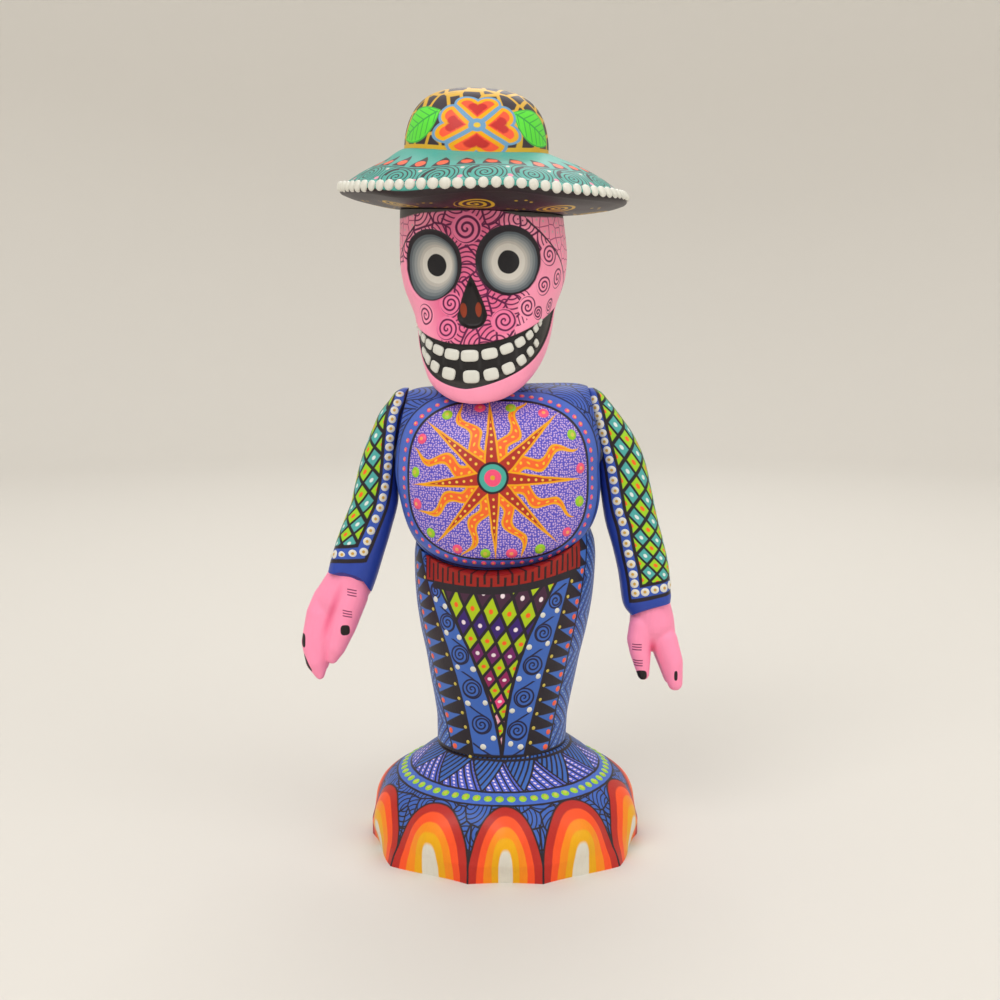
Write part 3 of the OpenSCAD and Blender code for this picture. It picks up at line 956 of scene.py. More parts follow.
def melted(name, limbs, mirror):
    """One smooth closed mesh out of the hulls of several limbs, as points and faces."""
    whole_bm = bmesh.new()
    for balls in limbs:
        bm = ball_hull(balls, mirror)
        mesh = bpy.data.meshes.new("limb")
        bm.to_mesh(mesh)
        whole_bm.from_mesh(mesh)
        bm.free()
        bpy.data.meshes.remove(mesh)
    mesh = bpy.data.meshes.new(name)
    whole_bm.to_mesh(mesh)
    whole_bm.free()
    obj = linked(name + "_form", mesh)
    remesh = obj.modifiers.new("melt", "REMESH")
    remesh.mode, remesh.voxel_size = "VOXEL", MELT_VOXEL * MM
    ease = obj.modifiers.new("ease", "SMOOTH")
    ease.factor, ease.iterations = 0.5, 6
    made = bpy.data.meshes.new_from_object(obj.evaluated_get(bpy.context.evaluated_depsgraph_get()))
    bpy.data.objects.remove(obj)
    return made


def make_hand(name, limbs, rings, side, node, body, materials):
    """One hand, cut off flat inside its cuff."""
    mesh = melted(name, limbs, side)
    z, away, _, ahead, _, tilt = rings[-1]
    up = np.array([-side * math.sin(math.radians(tilt)), 0, math.cos(math.radians(tilt))])
    spot = np.array([TORSO_X + side * away, -ahead, z]) + up * WRIST_DEEP
    bm = bmesh.new()
    bm.from_mesh(mesh)
    cut = bmesh.ops.bisect_plane(bm, geom=bm.verts[:] + bm.edges[:] + bm.faces[:], plane_co=spot * MM,
                                 plane_no=up, clear_outer=True)
    bmesh.ops.edgeloop_fill(bm, edges=[e for e in cut["geom_cut"] if isinstance(e, bmesh.types.BMEdge)])
    bm.to_mesh(mesh)
    bm.free()
    mesh.materials.clear()
    shade(mesh, materials, 50)
    layer = mesh.attributes.new("paint", "FLOAT_VECTOR", "POINT")
    co = np.zeros(len(mesh.vertices) * 3)
    mesh.vertices.foreach_get("co", co)
    layer.data.foreach_set("vector", (co / MM).astype(np.float32))
    declare(linked(name, mesh), body, node)


# ---- materials ----

def plain(name, code, **finish):
    sheet = Sheet(name)
    sheet.ground(code)
    return sheet.finish(**finish)


# ---- motifs ----

INK, NAVY = "231b24", "1d1a3a"
WOBBLE_SIZE = 6


def spiral(x, y, size, pitch, way, width, start=0.0):
    """A brush spiral round (0, 0), with its outermost turn at size."""
    r = hypot(x, y)
    turns = part(r / pitch + angle(y, x) * (way / 2 / PI) + start) - 0.5
    return all_of(stroke(turns * pitch, width), inside(r - size))


def dot(x, y, r, edge=0.25):
    return inside(hypot(x, y) - r, edge)


def fans(sheet, x, y, size, pitch, width, random=0.9):
    """A filling of patches, each with arcs round a middle of its own."""
    cell = sheet.cells(x, y, size, random)
    cx, cy, _ = sheet.split(cell["Position"])
    pick, _, _ = sheet.split(cell["Color"])
    turn_by = pick * 2 * PI
    off = size * 0.62
    r = hypot(x - cx - cosine(turn_by) * off, y - cy - sine(turn_by) * off)
    arcs = stroke(near(r, pitch), width)
    return any_of(arcs, inside(sheet.to_border(x, y, size, random) - width * 0.7))


def scales(sheet, x, y, size, width):
    """Outlines of cells, and the dots in their middles."""
    border = sheet.to_border(x, y, size, 0.6)
    middle = Value(sheet, sheet.cells(x, y, size, 0.6)["Distance"]) * size
    return inside(border - width / 2), inside(middle - 0.45)


def wobble(sheet, x, y, amount):
    """Coordinates that shake a little, as a hand does."""
    n = sheet.noise(sheet.vector(x, y, 3.7), WOBBLE_SIZE, 1)
    m = sheet.noise(sheet.vector(y, x, 9.1), WOBBLE_SIZE, 1)
    return x + (n - 0.5) * 2 * amount, y + (m - 0.5) * 2 * amount


def bead(name, code, centre=None, share=0):
    """Paint of a raised dot, which may have a smaller dot of another colour on it."""
    sheet = Sheet(name)
    x, y, pick = sheet.coordinates()
    sheet.ground(code)
    if centre:
        sheet.lay(centre, dot(x - (pick - 0.5) * 0.3, y + (pick - 0.5) * 0.2, share, 0.3))
    return sheet.finish(coat=0.35, rough=0.34)


# ---- paint of the foot ----

# Nested arches of a petal, outermost first: colour, share of its half-width, height.
ARCHES = [("2a1a1c", 1.05, 31.8), ("b5261c", 1.0, 30.9), ("f4511e", 0.8, 27.1),
          ("f28a10", 0.62, 22.7), ("e9a800", 0.4, 18.6), ("dcd8cb", 0.215, 14.0)]
# A petal's width at the hem, its mean width, and the half-width of its painted arches.
PETAL_HEM, PETAL_MEAN, ARCH_HALF = 36, 30, 17
# How far up the foot's side the ring of dots and the top of the collar above it are.
RING_OUT, RING_MID, RING_IN, FOOT_TOP = 31.9, 35.2, 38.5, 52.9
RING_BEADS, TRIANGLES = 58, 12


def lay_arches(sheet, unit, local, s):
    """Arches, a little lower on the petals round the second one to the figure's right."""
    tall = 1.01 - most(2 - abs(whole(unit + 0.5) + 2), 0) * 0.055
    for code, half, height in ARCHES:
        power = 2.2 if half > 0.5 else 2.8
        share = (local / half) ** power + (s / tall / height) ** power
        sheet.lay(code, inside((share ** (1 / power) - 1) * (ARCH_HALF * half), 0.35))


def lay_collar(sheet, unit, s):
    """Triangles above the ring, in turn hatched and filled with slanting rows of dots."""
    pitch = PETALS / TRIANGLES
    h = (s - RING_IN) / (FOOT_TOP - RING_IN)
    # Half a triangle's pitch at that height, in millimetres.
    half_mm = 10 - h * 3.2
    t = near(unit, pitch, -0.04) * (2 / pitch)
    dotted = 1 - h - abs(t)
    fall = near(t + h, 0.4) * half_mm * 0.82
    rows = near(t + h, 0.4, 0.2) * half_mm * 0.82
    sheet.lay(INK, stroke(fall, 0.7), inside(-dotted * 8), inside(RING_IN - s))
    spots = inside(hypot(rows, near(s, 1.5)) - 0.45)
    sheet.lay("e9cfe6", spots, inside(-dotted * 8), inside(RING_IN + 0.7 - s))
    other = near(unit, pitch, -0.04 + pitch / 2) * (2 / pitch)
    hatched = inside(dotted * 8)
    sheet.lay("3a66b4", hatched, inside(RING_IN - s))
    hatching = stroke(near(other - h, 0.3) * half_mm * 0.82, 0.75)
    sheet.lay(INK, hatching, hatched, inside(RING_IN - s))
    sheet.lay(INK, stroke(dotted * half_mm * 0.82, 0.8), inside(RING_IN - s))


def foot_paint():
    """Petals with nested arches, a ring for the dots and the collar above it."""
    sheet = Sheet("foot_paint")
    unit, s, _ = sheet.coordinates()
    x, s = wobble(sheet, unit * PETAL_HEM, s, 0.22)
    unit = x / PETAL_HEM
    local = abs(near(unit, 1.0)) * 2
    sheet.ground("3c62b6")
    sheet.lay(INK, fans(sheet, unit * PETAL_MEAN, s, 8, 1.9, 0.55))
    lay_arches(sheet, unit, local, s)
    sheet.lay(INK, stroke(abs(local - 1) * ARCH_HALF, 0.9), inside(s - 24))
    sheet.lay("4468c0", inside(RING_OUT - s))
    sheet.lay("4c5fc6", inside(RING_IN - s))
    lay_collar(sheet, unit, s)
    for line, width in ((RING_OUT, 0.9), (RING_IN, 0.9), (FOOT_TOP, 1.2)):
        sheet.lay(INK, stroke(s - line, width))
    return sheet.finish(grain=0.04)


def foot_beads(rng):
    k = np.linspace(0, len(FOOT_PROFILE) - 1, 400)
    run = lengths(foot_at(0.0, k)[:, None])[:, 0]
    k_mid = np.interp(RING_MID, run, k)
    angles = 2 * PI * (np.arange(RING_BEADS) + 0.5) / RING_BEADS
    return domes([at(foot_at, a, k_mid, 1.6) for a in angles], rng, 1, rise=0.25)


# ---- paint of the skirt ----

# Height where the skirt's design starts, and the pitch of the saws' teeth.
HEM_Z, SAW_PITCH = 41, 5.9


def panel_edge(side, t):
    """Edge of the lozenge panel at t above the foot. Side is -1 for the figure's right."""
    if side < 0:
        return -0.2 - 0.13 * t - 0.0042 * t * t
    return 0.1 + 0.06 * t + 0.0012 * t * t + 0.00003 * t * t * t


def strip_edge(side, t):
    """Outer edge of the blue strip beside it."""
    return -11.5 - 0.18 * t - 0.0025 * t * t if side < 0 else 9.0 + 0.19 * t + 0.001 * t * t


def saw_edge(side, t):
    """Base line of the teeth at the outer edge of the black strip."""
    return -22 - 0.43 * t + 0.0011 * t * t if side < 0 else 20.4 + 0.23 * t


def curl_z(side, k):
    """Height of the middle of the strip's curl number k, counted upwards from 0."""
    return 53.3 + 15.2 * k - 0.5 * k * k if side < 0 else 51 + 14 * k - 0.2 * k * k


def curl_index(side, z):
    """Number of the curl whose stretch of the strip a height is in: curl_z turned round."""
    if side < 0:
        return whole(15.7 - root(most(231.04 - 2 * (z - 53.3), 0.01)))
    return whole((14 - root(most(196 - 0.8 * (z - 51), 0.01))) / 0.4 + 0.5)


def lay_lozenges(sheet, x, z):
    """The harlequin panel, whose lozenges grow upwards."""
    z = z + (x + 5) * (z - 50) * 0.0024
    d = 100.5 - z
    # Rows down from the top, and columns across.
    m = d * (0.0767 + 0.0005 * d)
    width = 7.1 - 0.049 * d
    u = (x + 5.2 + 0.105 * d) / width
    near_u, near_m = abs(near(u, 1.0)), abs(near(m, 1.0))
    metric = (near_u + near_m) * 2 - 1
    row = whole(m)
    # The ground between them gets redder by rows; the first tone lies under all of them.
    tones = [("43203a", -9), ("361a6e", 0), ("701c62", 1), ("8f1d58", 2), ("ec4580", 3), ("f2a2b8", 4)]
    for code, low in tones:
        sheet.lay(code, inside(low - 0.5 - row, 0.1))
    sheet.lay("abc60e", inside(metric * 3))
    sheet.lay(INK, inside(abs(metric) * width * 0.44 - 0.62))
    sheet.lay("f2601a", inside(hypot(near_u * width, near_m * 11) - 0.85))
    sheet.lay("f0dfe6", inside(hypot((0.5 - near_u) * width, (0.5 - near_m) * 11) - 0.8))


def lay_back_lines(sheet, x, z):
    """Zigzag lines with dots between them, seen at the sides."""
    slant = x * 0.72 + abs(near(z, 30, 50)) * 0.7
    sheet.lay(INK, stroke(near(slant, 3.5), 0.6))
    sheet.lay("93b4d6", stroke(near(slant, 3.5, 1.75), 0.5), inside(wave(z, 1.6) - 0.45))


def lay_strip(sheet, x, z, t, side):
    """One black saw-toothed strip and the blue strip of curls inside it."""
    base, inner, mid = saw_edge(side, t), strip_edge(side, t), panel_edge(side, t)
    strip = all_of(inside((x - base) * side), inside(-x * side))
    sheet.lay(INK, strip)
    across = (base - x) * side / most((base - inner) * side, 1)
    v = near(z, SAW_PITCH, 42.0)
    tooth = most(v - 2.35, across * 6.4 - 2.75 - v)
    sheet.lay("3f6cc0", inside(tooth * 0.8), strip, inside(0.55 - (base - x) * side))
    sheet.lay("3c66ba", inside((x - inner) * side), inside(-x * side))
    k = curl_index(side, z)
    cz = curl_z(side, k)
    ct = cz - HEM_Z
    cx = (strip_edge(side, ct) + panel_edge(side, ct)) * 0.5
    dx, dz = (x - cx) * side, z - cz
    size = 2.9 + 0.7 * (4 - k) - 0.12 * (4 - k) * (4 - k)
    field = all_of(inside((x - inner) * side + 0.5), inside(-(x - mid) * side + 0.5))
    curl = spiral(dx, dz, size + 0.25, 1.6, -1, 0.7, 0.1)
    ring = stroke(hypot(dx, dz) - size, 0.7)
    arc = all_of(stroke(dz * 0.87 - dx * 0.5 - size, 0.7), inside(-dx - size * 0.5))
    sheet.lay(NAVY, any_of(curl, ring, arc), field)
    sheet.lay(INK, stroke(x - base, 0.9))
    sheet.lay(INK, stroke(x - inner, 0.6))


def lay_waistband(sheet, x0, x, below):
    """The red band with a battlement line under the rim, in front and at the back."""
    low = 4.8 + (x0 + 2) * (x0 + 2) * 0.0042
    band = all_of(inside(below - low), inside(abs(x0 + 1.5) - 35))
    sheet.lay(INK, inside(below - low - 2.6), inside(abs(x0 + 1.5) - 30))
    sheet.lay("98190f", band)
    up = stroke(near(x, 5.2), 0.95)
    down = stroke(near(x, 5.2, 2.6), 0.95)
    marks = any_of(all_of(up, inside(1.1 - below)), all_of(down, inside(below - low + 1.3)))
    sheet.lay("2b1014", marks, band)
    sheet.lay(INK, stroke(below - low, 0.8), inside(abs(x0 + 1.5) - 35))


def skirt_paint():
    """The lozenge panel between two pairs of strips, under the waistband."""
    sheet = Sheet("skirt_paint")
    x0, z0, below = sheet.coordinates()
    x, z = wobble(sheet, x0, z0, 0.3)
    t = z - HEM_Z
    sheet.ground("3c62b4")
    lay_back_lines(sheet, x, z)
    for side in (-1, 1):
        lay_strip(sheet, x, z, t, side)
    front = all_of(inside(x - panel_edge(1, t)), inside(panel_edge(-1, t) - x))
    sheet.lay_layer(front, INK, lambda: lay_lozenges(sheet, x, z))
    for side in (-1, 1):
        sheet.lay(INK, stroke(x - panel_edge(side, t), 1.3))
    lay_waistband(sheet, x0, x, below)
    sheet.lay(INK, inside(z0 - HEM_Z - 0.2, 0.5))
    return sheet.finish()


def skirt_beads(rng):
    """Dots of the blue strips, the saws and the gaps between their teeth, front and back."""
    def spot(x, z, size):
        radius = through(SKIRT_RADIUS, z)
        return [(*at(skirt_ring, a, z), size) for a in (x / radius, PI - x / radius)]

    white, orange, yellow = [], [], []
    for side in (-1, 1):
        for k in range(5):
            z = curl_z(side, k)
            x = (strip_edge(side, z - HEM_Z) + panel_edge(side, z - HEM_Z)) / 2
            near_x = max(abs(panel_edge(side, z - 5.4 - HEM_Z)) + 1.9, 3.4)
            white += spot(side * near_x, z - 5.3, 1.15)
            if k < 4:
                far_x = abs(strip_edge(side, z + 8.2 - HEM_Z)) - 2.1
                white += spot(side * far_x, z + 8.4, 1.15)
        white += spot(side * 7.4, 44.2, 1.15)
        for z in np.arange(42.4, 115, SAW_PITCH):
            base = saw_edge(side, z - HEM_Z)
            orange += spot(base - side * 2.0, z, 1.12)
            inner = strip_edge(side, z - 3.2 - HEM_Z)
            yellow += spot(inner + side * 1.7, z - 2.9, 0.72)
    return (domes([s for s in white if s[0][2] < 111], rng, 1, rise=0.3)
            + domes(orange, rng, 2, rise=0.25) + domes(yellow, rng, 3, rise=0.25))


# ---- paint of the chest ----

# Lowest height of the arcs on the shoulders, where the back starts, and the stipple's pitch.
YOKE_LOW, BACK_FROM, STIPPLE = 161, 3, 0.93
EDGE_BEADS, BIG_SPOTS = 62, 16


def lay_sun(sheet, x, z):
    """Eight straight rays and eight wavy ones between them, dotted, round a middle of rings."""
    r = hypot(x, z)
    theta = angle(z, x)
    theta = theta - 0.04 + cosine(theta) * 0.082
    to_left = most(cosine(theta), 0)
    reach = 33.2 - cosine(theta * 4) * 1.2 + to_left * to_left * 2.4
    share = (r - 6.5) / (reach - 6.5)
    eighth = PI / 4
    away = near(theta, eighth, eighth / 2) * r
    bend = sine((r - 8) * (2 * PI / 14.5)) * 1.9 * clipped(r - 7, 0.16)
    wavy = abs(away - bend) - (1 - share * share) * 2.9
    sheet.lay("eda40a", inside(most(wavy, r - reach)))
    sheet.lay("f0662a", inside(wavy + 0.95))
    row = all_of(inside(hypot(away - bend, near(r, 2.7, 1.0)) - 0.5), inside(wavy + 1.3))
    across = near(theta, eighth) * r
    ray = abs(across) - (1 - share) * 3.0
    beads = all_of(inside(hypot(across, near(r, 2.7)) - 0.5), inside(ray + 1.1))
    sheet.lay("f2c22a", row)
    sheet.lay("eda40a", inside(ray))
    sheet.lay("ad2c20", inside(ray + 0.8))
    sheet.lay("f2c64a", beads)
    for code, size in ((INK, 6.0), ("46a79a", 5.1), ("f0507a", 3.2), ("d8a62a", 0.9)):
        sheet.lay(code, inside(r - size))


def chest_face():
    """The sun on its stippled panel, and arcs on shoulders and back."""
    sheet = Sheet("chest_paint")
    x0, z0, rim = sheet.coordinates()
    x, z = wobble(sheet, x0, z0, 0.35)
    sheet.ground("3f5fbb")
    across, y, height = sheet.split(sheet.place())
    lines = fans(sheet, across * 0.95 + y * 0.6, height + y * 0.6, 10, 1.7, 0.5)
    shoulders, back = inside(YOKE_LOW - height, 6), inside(BACK_FROM - y, 0.5)
    sheet.lay("1d2148", lines, any_of(shoulders, back))
    sheet.lay("4a68c4", inside(rim - 4.4))
    sheet.lay("1d2148", stroke(rim - 4.0, 0.5))
    sheet.lay("5a50c2", inside(rim))
    stipple = Value(sheet, sheet.cells(x0, z0, STIPPLE, 0.65)["Distance"])
    sheet.lay("cfb0dc", inside(stipple * 0.95 - 0.29, 0.22) * inside(rim))
    lay_sun(sheet, x, z)
    sheet.lay(INK, stroke(rim, 0.75))
    return sheet.finish()


def chest_spot(x, z, size):
    """A spot on the front of the chest at that x and z, found by Newton's method."""
    def flat(a, q):
        return torso_at(a, q)[[0, 2]]

    u, e = np.array([0.0, 0.0]), 1e-4
    for _ in range(25):
        p = flat(*u)
        slope = np.stack([(flat(u[0] + e, u[1]) - p) / e, (flat(u[0], u[1] + e) - p) / e], 1)
        step = np.linalg.solve(slope, np.array([x, z]) - p)
        u = u + np.clip(step, -0.25, 0.25)
    return at(torso_at, u[0], u[1], size)


def chest_beads(rng):
    """Small dots round the panel's edge, and big spots inside it, pink and green in turn."""
    q = np.linspace(0, 2 * PI, 2001)
    ring = np.stack([PANEL_X + (PANEL_A + 1.8) * signed_power(np.cos(q), 2 / PANEL_N),
                     PANEL_Z + (PANEL_B + 1.7) * signed_power(np.sin(q), 2 / PANEL_N)], -1)
    run = lengths(ring)
    small, big = [], []
    for share in np.arange(EDGE_BEADS) / EDGE_BEADS:
        x, z = (np.interp(share * run[-1], run, ring[:, i]) for i in (0, 1))
        small.append(chest_spot(x, z, 0.95))
    step = 360 / BIG_SPOTS
    for i in range(BIG_SPOTS):
        # They stand a little closer together at the bottom.
        q = math.radians(102.5 - step * i + 4.5 * math.cos(math.radians(step * (i - 13))))
        u, v = math.cos(q), math.sin(q)
        rim = (abs(u / (PANEL_A - 2.9)) ** PANEL_N + abs(v / (PANEL_B - 2.5)) ** PANEL_N) ** (-1 / PANEL_N)
        big.append(chest_spot(PANEL_X + rim * u, PANEL_Z + rim * v, 2.05))
    return (domes(small, rng, 2, rise=0.3) + domes(big[::2], rng, 3, rise=0.22)
            + domes(big[1::2], rng, 4, rise=0.22))


# ---- paint of the skull ----

# Curls: middle, size and which way they wind.
CURLS = [(-0.3, 243.1, 5.4, 1), (-8, 216, 4, 1), (-20, 212.3, 4.2, -1), (-9.6, 207, 4.2, 1),
         (12, 208.7, 4.4, -1), (29.3, 221, 3.8, 1), (31.8, 232, 4, 1), (38, 223.5, 4, 1),
         (21.8, 213.4, 3.9, -1), (27.4, 211, 2.7, 1), (36, 213.2, 3.2, 1)]
# Pupils: middle and radius, then the middle and radius of the darkest ring round them.
PUPILS = [(-14, 230.4, 4.1, -17.0, 229.9, 12.0), (15.3, 230.2, 4.3, 16.0, 230.0, 11.1)]
# Greys of the eye, from its rim in to the paler ring round the pupil, and that ring's radius.
IRIS = ["5a646b", "777f84", "929798", "aaaaa7", "c0bcb5", "d6d2ca"]
IRIS_R = 6.7
SKIN, LINE = "ff9cbb", "5c1244"


def lay_eyes(sheet, x, z):
    for (ex, ez, ea, eb), (px, pz, pr, gx, gz, gr) in zip(EYES, PUPILS):
        sheet.lay(INK, inside((hypot((x - ex) / ea, (z - ez) / eb) - 1) * 12))
        for i, code in enumerate(IRIS):
            share = i / (len(IRIS) - 1)
            cx, cz = gx + (px - gx) * share, gz + (pz - gz) * share
            sheet.lay(code, inside(hypot(x - cx, z - cz) - (gr + (IRIS_R - gr) * share), 0.35))
        sheet.lay("17151a", inside(hypot(x - px, z - pz) - pr))


def nose_nodes(x, z):
    """nose_field() for Values, closed at its top and bottom."""
    high = clipped(NOSE_TOP - z, 1 / (NOSE_TOP - NOSE_WIDEST)) ** 0.8 * NOSE_HALF
    drop = (NOSE_WIDEST - z) / (NOSE_WIDEST - NOSE_LOW)
    low = root(calc("SUBTRACT", 1.0, drop * drop, clamp=True)) * NOSE_HALF
    half = choose(inside(NOSE_WIDEST - z, 0.05), high, low)
    return most(abs(x - NOSE_X) - half, NOSE_LOW - z, z - NOSE_TOP)


def mouth_low(x):
    """The grin's lower edge."""
    rise = choose(inside(x - GRIN_X, 0.05), GRIN_RIGHT, GRIN_LEFT)
    return GRIN_LOW + rise * abs(x - GRIN_X) ** GRIN_POWER


def mouth_nodes(x, z):
    """mouth_field() for Values."""
    flat = x / LIP_WIDE
    upper = LIP_Z + LIP_RISE - LIP_RISE * calc("EXPONENT", -(flat * flat))
    return most(z - upper, mouth_low(x) - z)


def lay_face_lines(sheet, x, z):
    """Arcs on brow, nose, lips and one cheek, and the curls over them."""
    brow = inside(238 - z - abs(x) * 0.18)
    bridge = all_of(inside(abs(x) - 8.5 - abs(z - 226) * 0.1), inside(204 - z))
    lips = all_of(inside(hypot(x - 2, (z - 203) * 1.3) - 14), inside(199 - z))
    cheek = all_of(inside(hypot(x - 16, z - 214) - 7.5), inside(205 - z))
    arcs = fans(sheet, x, z, 7.2, 1.75, 0.55, 1.0)
    sheet.lay(LINE, arcs, any_of(brow, bridge, lips, cheek))
    for cx, cz, size, way in CURLS:
        dx, dz = x - cx, z - cz
        thick = 0.95 if size > 5 else 0.68
        sheet.lay("f07aa4" if abs(cx) < 15 else SKIN, inside(hypot(dx, dz) - size - 0.4))
        sheet.lay(LINE, spiral(dx, dz, size, size / 2.4, way, thick, 0.35))


def lay_temples(sheet, x, z):
    """Scale cells from the temples back, bordered by a line."""
    temple = 264.5 - abs(x) * 0.86 - (0.004 * (abs(x) - 30) * (abs(x) - 30))
    side = all_of(inside(temple - z), inside(22 - abs(x)))
    rims, spots = scales(sheet, x, z, 4.2, 0.36)
    sheet.lay(SKIN, side)
    sheet.lay("a8406c", rims, side)
    sheet.lay("d3b5b8", spots, side)
    sheet.lay("3c1a30", stroke(z - temple, 1.0), inside(22 - abs(x)))


def lay_hat_seam_and_shade(sheet, x, z):
    """The dark band under the hat, partly a painted seam and partly painted shade under the brim, whose
    lower edge dips at the temples.
    """
    behind = rise_up(abs(x), 55, 85)
    seam = 249.7 - (0.9 * rise_up(-x, 18, 30) + 3.8 * rise_up(x, 8, 24)) * (1 - behind)
    # dark grey: seam paint together with painted shade under the brim
    sheet.lay("4a4746", inside(seam - z, 0.5))


def lay_nose(sheet, x, z):
    nose = nose_nodes(x, z)
    sheet.lay("1c1618", inside(nose - 0.3))
    for cx in (-3.2, 2.6):
        nostril = hypot((x - cx) / 1.15, (z - 213.3) / 2.7) - 1
        sheet.lay("93381c", inside(nostril * 1.5))


def lay_grin(sheet, x, x0, z, z0, back):
    """The dark mouth, with faint clefts between the teeth and a paler line below them."""
    mouth = all_of(inside(mouth_nodes(x0, z0)), inside(back - 50, 10))
    sheet.lay("1b1819", mouth)
    cleft = stroke(near(x, 7.0, 2.2), 1.0, 0.8)
    gum = inside(abs(z - 194.5 - x * x * 0.014) - 2.5, 1.5)
    sheet.lay("3b3a3a", cleft * 0.35, gum, mouth)
    sheet.lay("56524f", stroke(z0 - mouth_low(x0) - 1.6, 1.2, 1.5) * 0.5, mouth)


def skull_face():
    """The painted face, and scale cells on the rest of the head."""
    sheet = Sheet("skull_paint")
    x0, z0, back = sheet.coordinates()
    x, z = wobble(sheet, x0, z0, 0.35)
    sheet.ground(SKIN)
    blush = calc("MULTIPLY_ADD", hypot(x / 19, (z - 226) / 30), -2.2, 2.6, clamp=True)
    sheet.lay("e4608e", blush * 0.85)
    lay_face_lines(sheet, x, z)
    lay_temples(sheet, x, z)
    lay_hat_seam_and_shade(sheet, x, z)
    lay_eyes(sheet, x, z)
    lay_nose(sheet, x, z)
    lay_grin(sheet, x, x0, z, z0, back)
    return sheet.finish()


def face_point(x, z, lift):
    """Row point over the carved face at flat coordinates (x, z)."""
    x, z = np.asarray(x, float), np.asarray(z, float)
    k = np.interp(z, [row[0] for row in SKULL], np.arange(len(SKULL)))
    low, high = np.full(x.shape, -PI / 2), np.full(x.shape, PI / 2)
    for _ in range(40):
        mid = (low + high) / 2
        over = face_plan(skull_at(mid, k))[0] > x
        low, high = np.where(over, low, mid), np.where(over, mid, high)
    p = skull_at(mid, k)
    outward = np.stack([p[..., 0], p[..., 1], 0 * z], -1)
    outward /= np.linalg.norm(outward, axis=-1)[..., None]
    return face_to_row(carve_face(p) + outward * np.asarray(lift)[..., None])


def tooth_shell(x, z, w, h, tilt, kind):
    """One raised tooth, a rounded oblong that lies on the carved face."""
    a = np.linspace(0, 2 * PI, 25)
    u, v = signed_power(np.cos(a), 2 / 3.6), signed_power(np.sin(a), 2 / 3.6)
    cos_t, sin_t = math.cos(tilt), math.sin(tilt)
    rows = []
    for share, lift in ((1, -0.5), (1, 0.3), (0.95, 0.55), (0.8, 0.75), (0.4, 0.85)):
        du, dv = u * w / 2 * share, v * h / 2 * share
        rows.append(face_point(x + du * cos_t - dv * sin_t, z + du * sin_t + dv * cos_t,
                               np.full(len(a), lift)))
    points = np.stack(rows)
    return shell(points, points * 0, kind)


def teeth(kind):
    """Thirteen upper teeth and eleven lower ones, smaller towards the corners of the grin."""
    found = []
    for i in range(-6, 7):
        n = abs(i)
        shrink = 1 - 0.11 * n
        x = -1.3 + math.copysign(7.75 * n - 0.45 * n * n, i) * (1 if i > 0 else 0.94)
        z = 196.7 + 0.0123 * x * x
        found.append(tooth_shell(x, z, 6.6 * shrink, 4.3 * (1 - 0.07 * n), 0.024 * x, kind))
        if n < 6:
            x = x + 0.2 if i >= 0 else -1.3 - 9.4 * n + 0.93 * n * n
            z = 188.9 + 0.0155 * x ** 2
            found.append(tooth_shell(x, z, 6.1 * shrink, 4.9 * (1 - 0.075 * n), 0.028 * x, kind))
    return found


# ---- paint of the hat ----

BRIM_DOTS, BRIM_TEETH, BRIM_CURLS, UNDER_CURLS = 77, 29, 18, 8
BRIM_INK = "2b2a30"
LEAF_HALF = 12.4


def lay_brim_teeth(sheet, a, r, run):
    """Dark triangles round the crown, each with a red spot."""
    dx = near(a, 2 * PI / BRIM_TEETH, -0.14) * r
    h = (run - 81) / 8.6
    tooth = abs(dx) - 3.5 * (1 - most(h, 0) ** 1.3)
    sheet.lay("35252a", inside(tooth), inside(81 - run), inside(run - 89.6))
    sheet.lay("f2603a", inside((hypot(dx / 2.1, (run - 83.7) / 1.9) - 1) * 1.5))


def lay_brim_curls(sheet, a, r, run):
    """Curls with arcs outside them, a thick stroke beside each and two dots in each gap."""
    cx = near(a, 2 * PI / BRIM_CURLS, 0.02) * r
    dz = run - 74.2
    curls = all_of(spiral(cx, dz * 1.05, 5.0, 1.75, -1, 0.6), inside(run - 79.7))
    around_it = hypot(cx, dz * 1.15)
    half = r * (PI / BRIM_CURLS)
    arcs = all_of(any_of(stroke(around_it - 6.3, 0.5), stroke(around_it - 7.7, 0.45)),
                  inside(run - 79.6), inside(67.6 - run), inside(abs(cx) - half + 0.3))
    sheet.lay(BRIM_INK, any_of(curls, arcs))
    sheet.lay("2e2226", inside(abs(around_it - 5.6) - 0.7), inside(cx + 2), inside(-dz - 0.2))
    gap = near(a, 2 * PI / BRIM_CURLS, 0.02 + PI / BRIM_CURLS) * r
    sheet.lay("e890a8", dot(gap, run - 72.2, 1.0))
    sheet.lay("d8c8c0", dot(gap, run - 78.3, 0.75))
    sheet.lay(BRIM_INK, stroke(run - 80.1, 0.6))


def lay_brim_underside(sheet, a, r, run):
    """Dark, with golden curls and groups of dots between them."""
    sheet.lay("2b2022", inside(run - BRIM_EDGE, 0.4))
    sheet.lay("2a1a22", inside(run - 58, 6))
    step = 2 * PI / UNDER_CURLS
    gx = near(a, step, -0.06) * r
    sheet.lay("cfa61c", spiral(gx * 0.95, run - 50.5, 7.3, 2.7, 1, 1.25, 0.2))
    mid = near(a, step, -0.06 + step / 2) * r
    for across, along in ((-2.0, 44), (1.6, 43), (3.6, 45.5), (-3, 55.5), (0.2, 57), (2.6, 55.8)):
        sheet.lay("c9a51e", dot(mid - across, run - along, 0.62))


def brim_paint():
    """Both sides of the brim."""
    sheet = Sheet("brim_paint")
    a, run, r = sheet.coordinates()
    sheet.ground("4ba598")
    shaky = run + (sheet.noise(sheet.place(), 5, 1) - 0.5) * 0.8
    lay_brim_teeth(sheet, a, r, shaky)
    lay_brim_curls(sheet, a, r, shaky)
    lay_brim_underside(sheet, a, r, run)
    return sheet.finish()


